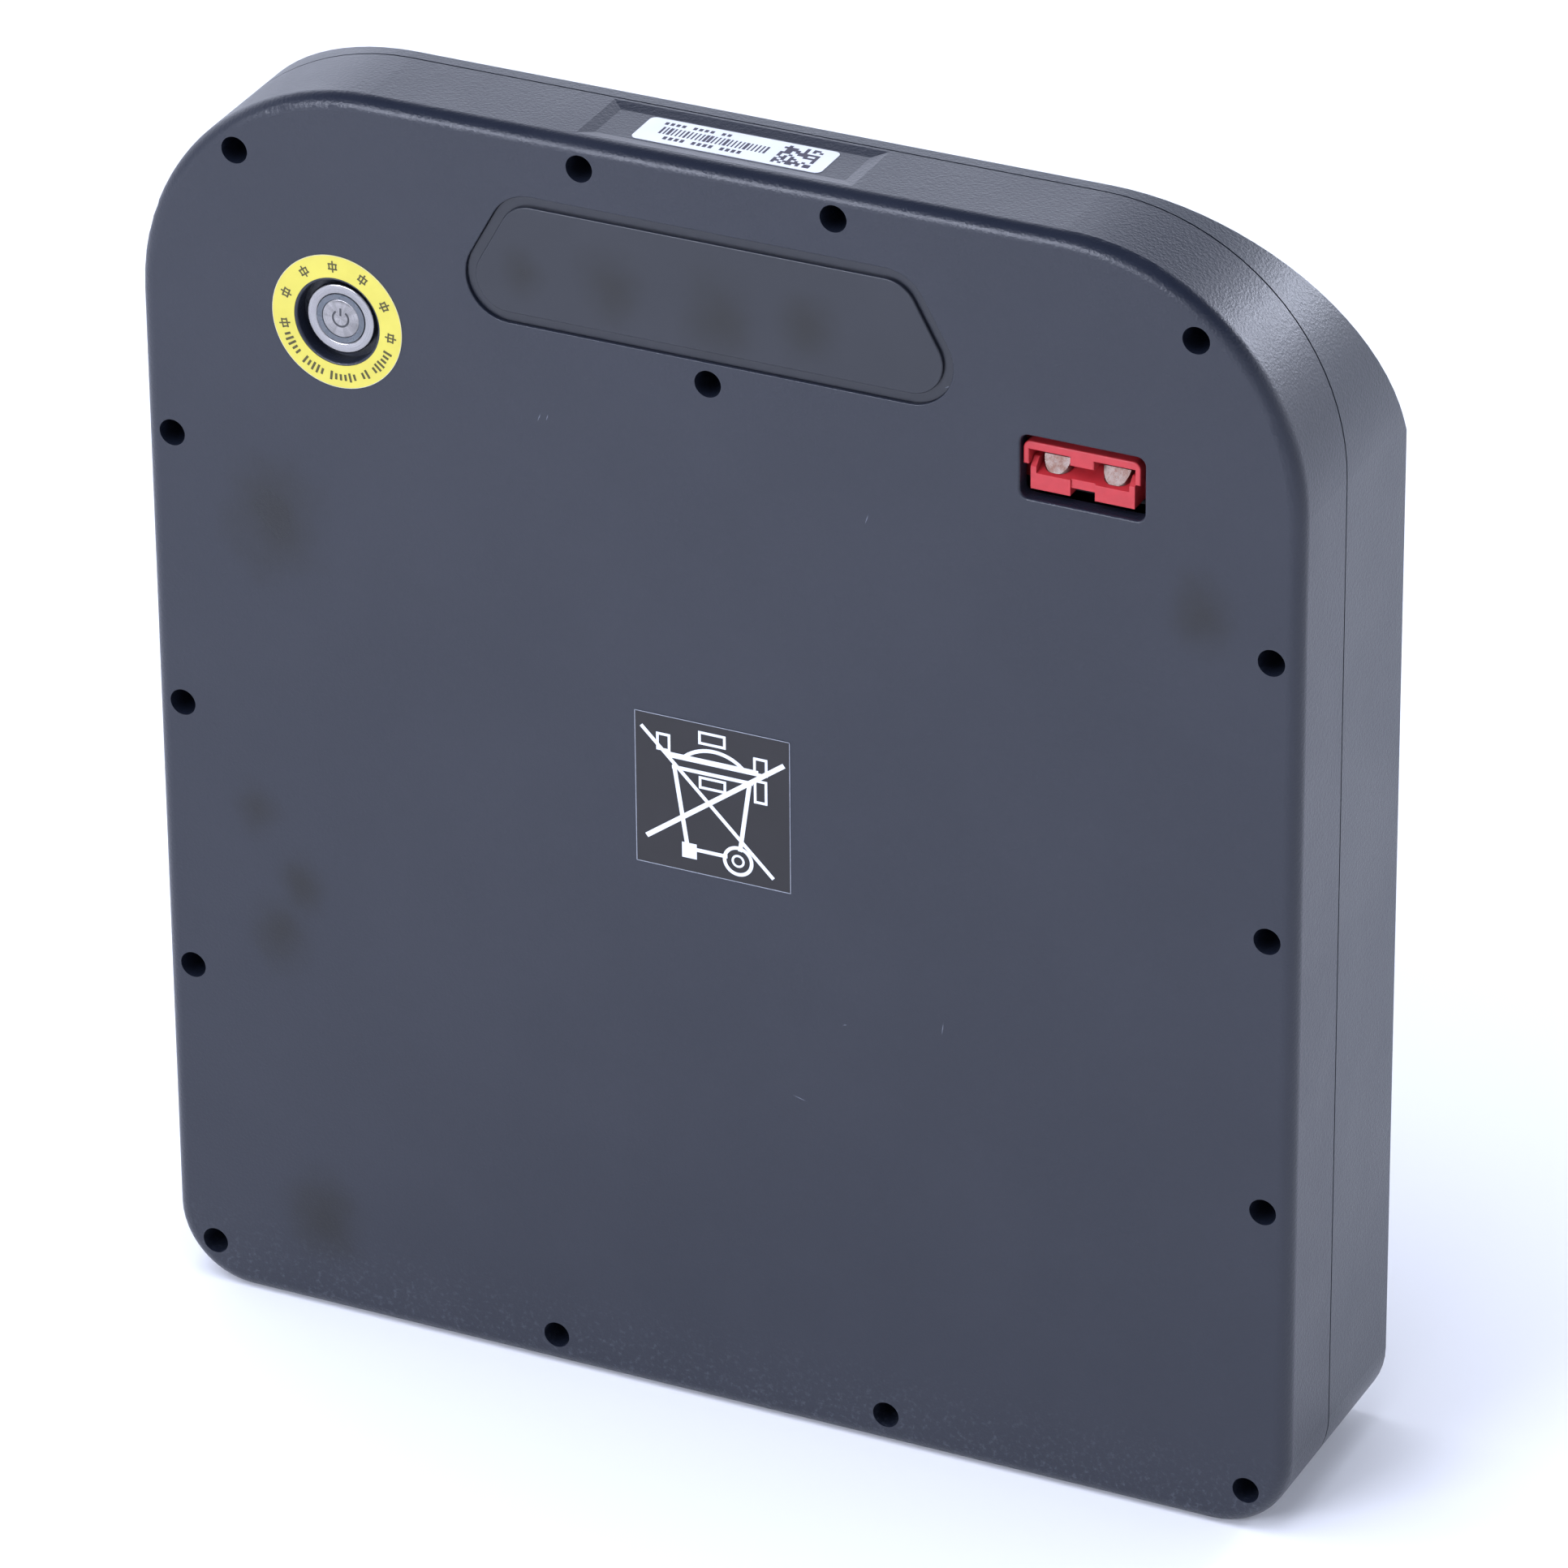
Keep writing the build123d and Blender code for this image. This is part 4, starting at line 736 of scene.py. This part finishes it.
@dataclass
class DisposalSticker:
    """Dark square film with a thin pale edge and a plain crossed bin in white lines.

    The bin's places and sizes are in tenths of half the film's side. A grip of the bin is
    (middle across, middle up, width, height).
    """

    line: float = 1.2 * MM
    edge: float = 0.22 * MM
    grips: tuple[tuple[float, float, float, float], ...] = (
        (0.0, 8.1, 3.2, 1.4),
        (0.0, 2.2, 3.2, 1.3),
        (-6.3, 6.5, 1.5, 2.0),
        (6.2, 5.9, 1.5, 2.0),
        (6.2, 2.6, 1.4, 2.8),
    )

    def build(self) -> None:
        """Dresses the film and lays its print."""
        film = PlainFinish(
            "disposal_film", (0.0035, 0.0028, 0.0042), (0.005, 0.004, 0.006), 0.35,
            blotch=0.015, grain=0.0006, grain_depth=0.000003,
        )
        white = PlainFinish("white_ink", (0.74, 0.77, 0.82), (0.68, 0.71, 0.77), 0.5, blotch=0.004)
        edge = PlainFinish("film_edge", (0.3, 0.32, 0.37), (0.24, 0.26, 0.3), 0.5, blotch=0.002)
        Maker.dress(["disposal_sticker"], film.material())
        low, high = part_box("disposal_sticker")
        middle = Vector(((low[0] + high[0]) / 2, low[1], (low[2] + high[2]) / 2))
        half = (high[0] - low[0]) / 2
        art = self.sheet(middle)
        self.draw_bin(art, half)
        art.finish("disposal_pictogram", white.material())
        border = self.sheet(middle)
        reach = half - self.edge / 2
        border.loop([(-reach, -reach), (reach, -reach), (reach, reach), (-reach, reach)], self.edge)
        border.finish("disposal_sticker_edge", edge.material())

    def sheet(self, middle: Vector) -> Print:
        """Starts a print on the film's face."""
        return Print(middle, Facing.FRONT)

    def draw_bin(self, art: Print, half: float) -> None:
        """Draws the bin.

        Args:
            art: The print to draw on.
            half: Half the film's side, in metres.
        """
        unit = half / 10.0
        art.step = INK_STEP
        self.draw_lines(art, unit)
        lid_start, lid_sweep = math.radians(48), math.radians(84)
        art.arc(0.2 * unit, 1.0 * unit, 5.6 * unit, self.line, lid_start, lid_sweep)
        for radius, weight in ((1.75, 0.95), (0.7, 0.6)):
            art.arc(3.2 * unit, -7.2 * unit, radius * unit, self.line * weight)
        art.box(-3.1 * unit, -7.2 * unit, 1.9 * unit, 2.0 * unit)
        for x, y, width, height in self.grips:
            across, up = width * unit / 2, height * unit / 2
            corners = [(-across, -up), (across, -up), (across, up), (-across, up)]
            art.loop([(x * unit + left, y * unit + rise) for left, rise in corners], self.line * 0.7)

    def draw_lines(self, art: Print, unit: float) -> None:
        """Draws the bin's straight lines and the cross.

        Args:
            art: The print to draw on.
            unit: A tenth of half the film's side, in metres.
        """
        lines = (
            ((-5.6, 5.0), (5.6, 5.0), 1.5),
            ((-5.0, 3.5), (5.0, 3.5), 1.0),
            ((-4.9, 3.5), (-3.4, -6.3), 1.15),
            ((4.8, 3.5), (3.5, -5.6), 1.15),
            ((-2.4, -6.9), (1.6, -6.9), 1.0),
            ((-9.0, 8.0), (7.6, -8.4), 1.0),
            ((-8.4, -6.2), (9.0, 6.6), 1.3),
        )
        for start, end, weight in lines:
            first, last = (tuple(value * unit for value in point) for point in (start, end))
            art.stroke(first, last, self.line * weight)


@dataclass
class DataLabel:
    """White film on the top of the case, with plain bars and a meaningless block pattern.

    A row of dashes is (place up the film, start along it, number of places, height), all but
    the number as shares of the film's size.
    """

    bars: int = 27
    cells: int = 11
    seed: int = 7
    dash_group: int = 5
    dash_rows: tuple[tuple[float, float, int, float], ...] = (
        (0.82, 0.10, 12, 0.11),
        (0.22, 0.16, 15, 0.13),
    )

    def build(self) -> None:
        """Dresses the film and lays its print."""
        film = PlainFinish(
            "data_film", (0.62, 0.64, 0.68), (0.58, 0.60, 0.65), 0.42,
            blotch=0.02, grain_depth=0.000002, coat=0.1,
        )
        ink = PlainFinish(
            "label_ink", (0.02, 0.018, 0.035), (0.035, 0.03, 0.055), 0.55, blotch=0.001
        )
        Maker.dress(["data_label"], film.material())
        low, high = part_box("data_label")
        length = high[0] - low[0]
        width = high[1] - low[1]
        art = Print(Vector((low[0], low[1], high[2])), Facing.TOP)
        self.draw_bars(art, length, width)
        self.draw_blocks(art, length, width)
        art.finish("data_label_print", ink.material())

    def draw_bars(self, art: Print, length: float, width: float) -> None:
        """Draws a row of upright bars, with a row of short dashes above and below.

        Args:
            art: The print to draw on.
            length: Length of the film, in metres.
            width: Width of the film, in metres.
        """
        dice = random.Random(self.seed)
        step = length * 0.57 / self.bars
        for index in range(self.bars):
            thick = step * dice.choice((0.42, 0.42, 0.6, 0.78))
            art.box(length * 0.11 + index * step, width * 0.52, thick, width * 0.30)
        for row, start, count, high in self.dash_rows:
            for index in range(count):
                if index % self.dash_group != self.dash_group - 1:
                    place = length * (start + index * 0.03)
                    art.box(place, width * row, length * 0.019, width * high)

    def draw_blocks(self, art: Print, length: float, width: float) -> None:
        """Draws a square of scattered blocks.

        Args:
            art: The print to draw on.
            length: Length of the film, in metres.
            width: Width of the film, in metres.
        """
        dice = random.Random(self.seed + 1)
        side = width * 0.80
        cell = side / self.cells
        left = length * 0.725
        base = (width - side) / 2
        for row in range(self.cells):
            for column in range(self.cells):
                if dice.random() < 0.5:
                    art.box(left + (column + 0.5) * cell, base + (row + 0.5) * cell, cell, cell)


@dataclass
class RingLabel:
    """Yellow ring film round the button recess, with plain ticks instead of words."""

    tick_groups: tuple[int, ...] = (5, 5, 6, 2, 6)
    tick: float = 0.75 * MM
    tick_length: float = 2.5 * MM
    tick_inset: float = 3.4 * MM
    marks: int = 7
    mark_inset: float = 3.6 * MM
    mark_length: float = 3.7 * MM
    mark_line: float = 0.5 * MM
    side_length: float = 2.0 * MM
    side_angle: float = math.radians(3.6)
    cross_length: float = 3.0 * MM
    cross_reach: float = 0.8 * MM
    edge: float = 0.12 * MM
    seed: int = 3

    def build(self) -> None:
        """Dresses the film and lays its print."""
        film = PlainFinish(
            "yellow_film", (0.58, 0.51, 0.075), (0.545, 0.475, 0.068), 0.5,
            blotch=0.012, grain_depth=0.000002,
        )
        ink = PlainFinish("ring_ink", (0.05, 0.042, 0.008), (0.07, 0.06, 0.012), 0.6, blotch=0.001)
        edge = PlainFinish("ring_edge", (0.55, 0.55, 0.5), (0.45, 0.45, 0.42), 0.5, blotch=0.001)
        Maker.dress(["ring_label"], film.material())
        low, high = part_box("ring_label")
        centre = Vector(((low[0] + high[0]) / 2, low[1], (low[2] + high[2]) / 2))
        outer = (high[0] - low[0]) / 2
        art = Print(centre, Facing.FRONT)
        art.step = INK_STEP * 2 / 3
        self.draw_marks(art, outer)
        self.draw_ticks(art, outer)
        art.finish("ring_label_print", ink.material())
        rim = Print(centre, Facing.FRONT)
        rim.arc(0.0, 0.0, outer - self.edge / 2, self.edge)
        rim.finish("ring_label_edge", edge.material())

    def draw_marks(self, art: Print, outer: float) -> None:
        """Draws small crossed bars, which mean nothing, round the upper half.

        Args:
            art: The print to draw on.
            outer: Outer radius of the film, in metres.
        """
        radius = outer - self.mark_inset
        for index in range(self.marks):
            angle = math.radians(192 - index * 33)
            art.box(*self.at(radius, angle), self.mark_length, self.mark_line, angle)
            for side in (-1, 1):
                lean = angle + side * self.side_angle
                art.box(*self.at(radius, lean), self.side_length, self.mark_line, lean)
                cross = self.at(radius + side * self.cross_reach, angle)
                art.box(*cross, self.mark_line, self.cross_length, angle)

    @staticmethod
    def at(radius: float, angle: float) -> tuple[float, float]:
        """Point of the film at a radius and an angle."""
        return radius * math.cos(angle), radius * math.sin(angle)

    def draw_ticks(self, art: Print, outer: float) -> None:
        """Draws groups of short ticks round the lower half.

        Args:
            art: The print to draw on.
            outer: Outer radius of the film, in metres.
        """
        radius = outer - self.tick_inset
        places = sum(self.tick_groups) + len(self.tick_groups) - 1
        dice = random.Random(self.seed)
        index = 0
        for group in self.tick_groups:
            for _ in range(group):
                angle = math.radians(203 + 134 * index / (places - 1))
                length = self.tick_length * dice.choice((0.8, 0.8, 1.15))
                art.box(*self.at(radius, angle), length, self.tick, angle)
                index += 1
            index += 1


@dataclass
class StartButton:
    """Metal push switch: polished bezel, grey light ring and a cap brushed in circles."""

    steps: int = 160
    face_dish: float = 0.16 * MM
    edge: float = 0.35 * MM
    symbol_radius: float = 2.5 * MM
    symbol_line: float = 0.6 * MM
    symbol_ink: float = 0.03 * MM
    symbol_gap: float = math.radians(38)
    bore_clearance: float = 0.12 * MM
    seat_wall: float = 2.8 * MM
    seat_ledge: float = 3.0 * MM
    thread_depth: float = 3.2 * MM
    lens_width: float = 1.65 * MM
    flange: float = 1.0 * MM
    stem: float = 2.4 * MM
    crown: tuple[float, float, float, float] = (0.02 * MM, 0.035 * MM, 0.06 * MM, 0.1 * MM)

    def build(self) -> None:
        """Makes the bezel and the cap and dresses the rest."""
        low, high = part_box("button_body")
        self.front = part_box("front_cover")[0][1]
        self.centre = Vector(((low[0] + high[0]) / 2, self.front, (low[2] + high[2]) / 2))
        spot = tuple(self.centre)
        bezel = TurnedMetal(
            "bezel_steel", spot, (0.30, 0.292, 0.295), (0.36, 0.35, 0.355), 0.24, 0.35,
            groove=0.00012, groove_depth=0.0000008,
        )
        # The cap gets painted reflection: darker radial sectors painted into its colour.
        cap = TurnedMetal(
            "cap_steel", spot, (0.31, 0.30, 0.30), (0.40, 0.385, 0.385), 0.27, 0.75, painted_reflection_sectors=0.5
        )
        lens = PlainFinish(
            "light_ring_lens", (0.095, 0.108, 0.128), (0.08, 0.092, 0.11), 0.3,
            blotch=0.004, grain_depth=0.000001, coat=0.2, subsurface=0.2,
        )
        ink = PlainFinish("symbol_ink", (0.03, 0.03, 0.034), (0.045, 0.045, 0.05), 0.5, blotch=0.001)
        self.make_bezel(bezel.material())
        self.make_cap(cap.material())
        Maker.dress(["button_light_ring"], lens.material())
        self.draw_symbol(ink.material())

    def depth_of(self, node: str, end: int) -> float:
        """Depth of a node's front (0) or back (1) behind the front face."""
        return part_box(node)[end][1] - self.front

    def make_bezel(self, material: bpy.types.Material) -> None:
        """Turns the switch's body with a dished, polished bezel.

        Args:
            material: Its finish.
        """
        low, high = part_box("button_body")
        radius = (high[0] - low[0]) / 2
        top = self.depth_of("button_body", 0)
        back = self.depth_of("button_body", 1)
        under = self.depth_of("button_gasket", 0)
        ring_low, ring_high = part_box("button_light_ring")
        bore = (ring_high[0] - ring_low[0]) / 2 + self.bore_clearance
        seat = self.depth_of("button_light_ring", 1) + self.seat_wall
        washer_low, washer_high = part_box("button_washer")
        barrel = (washer_high[0] - washer_low[0]) / 2 - self.thread_depth
        edge = self.edge
        profile = [
            (radius - edge, under),
            (radius, under - edge),
            (radius, top + 1.7 * edge),
            (radius - 0.25 * edge, top + 0.9 * edge),
            (radius - edge, top + 0.25 * edge),
            (radius - 2.1 * edge, top),
            (bore + 1.6 * edge, top + self.face_dish),
            (bore + 0.6 * edge, top + self.face_dish + 0.2 * edge),
            (bore, top + self.face_dish + 0.9 * edge),
            (bore, seat),
            (bore - self.seat_ledge, seat),
            (bore - self.seat_ledge, back),
            (barrel, back),
            (barrel, under),
        ]
        turned = Maker.spun(profile, self.centre, self.steps)
        piece = Maker.piece(turned, "button_bezel", material, CASE)
        Maker.smooth(piece, SHARP_ANGLE)
        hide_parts("button_body")

    def make_cap(self, material: bpy.types.Material) -> None:
        """Turns the cap with a slightly crowned face and a rounded edge.

        Args:
            material: Its finish.
        """
        lens_low, lens_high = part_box("button_light_ring")
        top = self.depth_of("button_cap", 0)
        flange = (lens_high[0] - lens_low[0]) / 2
        radius = flange - self.lens_width
        shoulder = self.depth_of("button_light_ring", 1)
        tip = self.depth_of("button_cap", 1)
        edge = self.edge * 0.6
        middle, half_way, rim, corner = (top + drop for drop in self.crown)
        profile = [
            (0.0, middle),
            (radius * 0.5, half_way),
            (radius - 1.4 * edge, rim),
            (radius - 0.4 * edge, corner + 0.3 * edge),
            (radius, corner + edge),
            (radius, shoulder),
            (flange, shoulder),
            (flange, shoulder + self.flange),
            (self.stem, shoulder + self.flange),
            (self.stem, tip),
            (0.0, tip),
        ]
        turned = Maker.spun(profile, self.centre, self.steps)
        piece = Maker.piece(turned, "button_cap_turned", material, BUTTON)
        Maker.smooth(piece, SHARP_ANGLE)
        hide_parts("button_cap")

    def draw_symbol(self, material: bpy.types.Material) -> None:
        """Draws the plain power symbol on the cap.

        Args:
            material: Its ink.
        """
        surface = Vector((self.centre.x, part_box("button_cap")[0][1] + self.crown[0], self.centre.z))
        art = Print(surface, Facing.FRONT, ink=self.symbol_ink)
        start = math.pi / 2 + self.symbol_gap
        sweep = math.tau - 2 * self.symbol_gap
        art.arc(0.0, 0.0, self.symbol_radius, self.symbol_line, start, sweep)
        foot, head = self.symbol_radius * 0.45, self.symbol_radius * 1.2
        art.stroke((0.0, foot), (0.0, head), self.symbol_line)
        art.finish("power_symbol", material, BUTTON)


@dataclass
class PowerConnector:
    """Red two-pole housing, its contacts, and the bracket behind it."""

    def build(self) -> None:
        """Dresses the connector."""
        red = PlainFinish(
            "red_plastic", (0.47, 0.028, 0.036), (0.42, 0.023, 0.030), 0.42,
            blotch=0.004, grain=0.00025, grain_depth=0.000005, subsurface=0.08,
        )
        plating = WornPlating("silvered_copper", (0.23, 0.18, 0.16), (0.16, 0.092, 0.073))
        black = PlainFinish("bracket_plastic", (0.015, 0.015, 0.016), (0.022, 0.022, 0.024), 0.55)
        Maker.dress(["connector_housing"], red.material())
        Maker.dress(["connector_contacts", "button_terminals"], plating.material())
        blocks = "connector_bracket button_contact_block fuse_holder holder_spacers"
        Maker.dress(blocks.split(), black.material())


@dataclass
class Internals:
    """Everything that the closed case hides."""

    def build(self) -> None:
        """Dresses the hidden pieces."""
        zinc = PlainFinish(
            "zinc_plate", (0.52, 0.52, 0.50), (0.60, 0.59, 0.54), 0.3, metallic=1.0, blotch=0.003
        )
        steel = RingPattern(
            "nickel_strip", (0.55, 0.53, 0.49), (0.42, 0.40, 0.37), 0.28, 0.0335,
            metallic=1.0, depth=0.00004,
        )
        sleeve = PlainFinish("cell_sleeve", (0.03, 0.16, 0.36), (0.025, 0.13, 0.30), 0.35, coat=0.4)
        holder = PlainFinish("holder_plastic", (0.02, 0.02, 0.022), (0.03, 0.03, 0.032), 0.5)
        sheet = RingPattern("fibre_sheet", (0.55, 0.62, 0.48), (0.46, 0.53, 0.40), 0.5, 0.0012)
        foam = RingPattern(
            "closed_cell_foam", (0.03, 0.03, 0.032), (0.015, 0.015, 0.016), 0.9, 0.0015, depth=0.0003
        )
        board = RingPattern("solder_mask", (0.01, 0.11, 0.05), (0.03, 0.2, 0.09), 0.35, 0.006)
        sink = RingPattern(
            "extruded_aluminium", (0.62, 0.62, 0.64), (0.5, 0.5, 0.52), 0.35, 0.002,
            (6.0, 6.0, 0.4), metallic=1.0,
        )
        white = PlainFinish("white_nylon", (0.72, 0.72, 0.69), (0.66, 0.66, 0.62), 0.45)
        red = PlainFinish("red_silicone", (0.42, 0.02, 0.02), (0.36, 0.016, 0.016), 0.55)
        black = PlainFinish("black_silicone", (0.018, 0.018, 0.02), (0.026, 0.026, 0.028), 0.6)
        groups = (
            (zinc, "bracket_screws bms_screws fuse_bolts connector_contact_springs"),
            (zinc, "button_spring button_washer button_nut"),
            (steel, "front_bus_strips rear_bus_strips"),
            (sleeve, "cells"),
            (holder, "front_cell_holder rear_cell_holder"),
            (sheet, "front_insulator rear_insulator"),
            (foam, "rear_pads side_pads base_pads"),
            (board, "bms_board bms_transistors bms_capacitors"),
            (sink, "bms_heatsink"),
            (white, "balance_socket fuse"),
            (red, "positive_pack_lead positive_output_lead"),
            (black, "negative_pack_lead negative_output_lead button_leads"),
            (black, "balance_harness temperature_sensor"),
        )
        made: dict[str, bpy.types.Material] = {}
        for finish, names in groups:
            material = made.get(finish.name) or finish.material()
            made[finish.name] = material
            Maker.dress(names.split(), material)


@dataclass(frozen=True)
class SoftBox:
    """A rectangular light: its place and size in metres and its power in watts."""

    place: tuple[float, float, float]
    size: tuple[float, float]
    power: float


@dataclass
class Studio:
    """Pale floor, soft lights and the camera.

    The surround is (height of the direction, brightness), with direction heights from 0 to 1.
    """

    camera_place: tuple[float, float, float] = (1.17744, -2.44466, 1.66336)
    camera_turn: float = 25.627
    camera_tilt: float = -28.461
    camera_roll: float = -0.515
    lens: float = 240.844
    sensor: float = 36.0
    view_range: float = 100.0
    floor_size: float = 30.0
    tint: Colour = (0.86, 0.91, 1.08)
    surround: tuple[tuple[float, float], ...] = ((0.02, 1.25), (0.46, 1.25), (0.54, 0.28), (0.85, 0.05))
    surround_top: float = 0.95
    glow_from: float = -0.3
    glow_to: float = 0.6
    front_glow: float = 0.72
    back_glow: float = 1.86
    overhead: SoftBox = SoftBox((-0.6, -0.8, 3.4), (3.2, 3.2), 130.0)
    front: SoftBox = SoftBox((-1.15, -2.6, 1.25), (1.5, 0.62), 60.0)
    corner: SoftBox = SoftBox((1.25, 2.1, 1.12), (0.34, 0.34), 15.0)
    aim: tuple[float, float, float] = (0.0, 0.0, 0.2)

    def build(self) -> None:
        """Makes the floor, the lights and the camera."""
        self.make_camera()
        self.make_floor()
        self.make_world()
        self.make_lights()
        bpy.context.scene.view_settings.view_transform = "Standard"

    def make_camera(self) -> None:
        """Places the camera: turn and tilt in degrees, then a small roll."""
        data = bpy.data.cameras.new("camera")
        data.lens = self.lens
        data.sensor_width = self.sensor
        data.clip_end = self.view_range
        camera = bpy.data.objects.new("camera", data)
        turn = Matrix.Rotation(math.radians(self.camera_turn), 4, "Z")
        tilt = Matrix.Rotation(math.radians(90.0 + self.camera_tilt), 4, "X")
        roll = Matrix.Rotation(math.radians(self.camera_roll), 4, "Z")
        camera.matrix_world = Matrix.Translation(self.camera_place) @ turn @ tilt @ roll
        bpy.context.scene.collection.objects.link(camera)
        bpy.context.scene.camera = camera

    def make_floor(self) -> None:
        """Lays the floor just under the case."""
        mesh = bmesh.new()
        bmesh.ops.create_grid(mesh, x_segments=2, y_segments=2, size=self.floor_size / 2)
        data = bpy.data.meshes.new("studio_floor")
        mesh.to_mesh(data)
        mesh.free()
        floor = bpy.data.objects.new("studio_floor", data)
        bpy.context.scene.collection.objects.link(floor)
        data.materials.append(FloorPaint().material())

    def make_world(self) -> None:
        """Soft surround: bright round the horizon, brightest behind, and dark overhead."""
        world = bpy.data.worlds.new("studio_surround")
        world.use_nodes = True
        tree = world.node_tree
        tree.nodes.clear()
        place = tree.nodes.new("ShaderNodeTexCoord")
        split = tree.nodes.new("ShaderNodeSeparateXYZ")
        rise = tree.nodes.new("ShaderNodeValToRGB")
        back = tree.nodes.new("ShaderNodeMapRange")
        shine = tree.nodes.new("ShaderNodeBackground")
        output = tree.nodes.new("ShaderNodeOutputWorld")
        tree.links.new(place.outputs["Generated"], split.inputs["Vector"])
        tree.links.new(split.outputs["Z"], rise.inputs["Fac"])
        tree.links.new(rise.outputs["Color"], shine.inputs["Color"])
        tree.links.new(split.outputs["Y"], back.inputs["Value"])
        tree.links.new(back.outputs["Result"], shine.inputs["Strength"])
        tree.links.new(shine.outputs["Background"], output.inputs["Surface"])
        glows = (self.glow_from, self.glow_to, self.front_glow, self.back_glow)
        for socket, value in zip(list(back.inputs)[1:5], glows):
            socket.default_value = value
        stops = rise.color_ramp.elements
        stops[0].position = 0.0
        stops[1].position = self.surround_top
        for position, level in self.surround:
            stop = stops.new(position)
            stop.color = (*(level * value for value in self.tint), 1.0)
        for stop, level in ((stops[0], self.surround[0][1]), (stops[-1], self.surround[-1][1])):
            stop.color = (*(level * value for value in self.tint), 1.0)
        bpy.context.scene.world = world

    def make_lights(self) -> None:
        """Hangs the soft boxes: overhead for the floor, low in front and low behind."""
        overhead = self.soft_box("overhead_light", self.overhead)
        overhead.visible_glossy = False
        self.soft_box("front_light", self.front)
        self.soft_box("corner_light", self.corner)

    def soft_box(self, name: str, box: SoftBox) -> bpy.types.Object:
        """Hangs one rectangular light that faces the case.

        Args:
            name: Name of the light.
            box: Its place, size and power.

        Returns:
            The light.
        """
        data = bpy.data.lights.new(name, "AREA")
        data.shape = "RECTANGLE"
        data.size, data.size_y = box.size
        data.energy = box.power
        data.color = self.tint
        light = bpy.data.objects.new(name, data)
        aim = Vector(self.aim) - Vector(box.place)
        turn = aim.to_track_quat("-Z", "Y").to_matrix().to_4x4()
        light.matrix_world = Matrix.Translation(box.place) @ turn
        bpy.context.scene.collection.objects.link(light)
        return light


def main() -> None:
    """Builds the studio and every sub-assembly, in order."""
    logging.basicConfig(level=logging.INFO, format="%(name)s: %(message)s")
    assemblies = (
        Studio(), CaseShells(), DisposalSticker(), DataLabel(), RingLabel(), StartButton(),
        PowerConnector(), Internals(),
    )
    for assembly in assemblies:
        LOG.info("building %s", type(assembly).__name__)
        assembly.build()


if __name__ == "__main__":
    main()
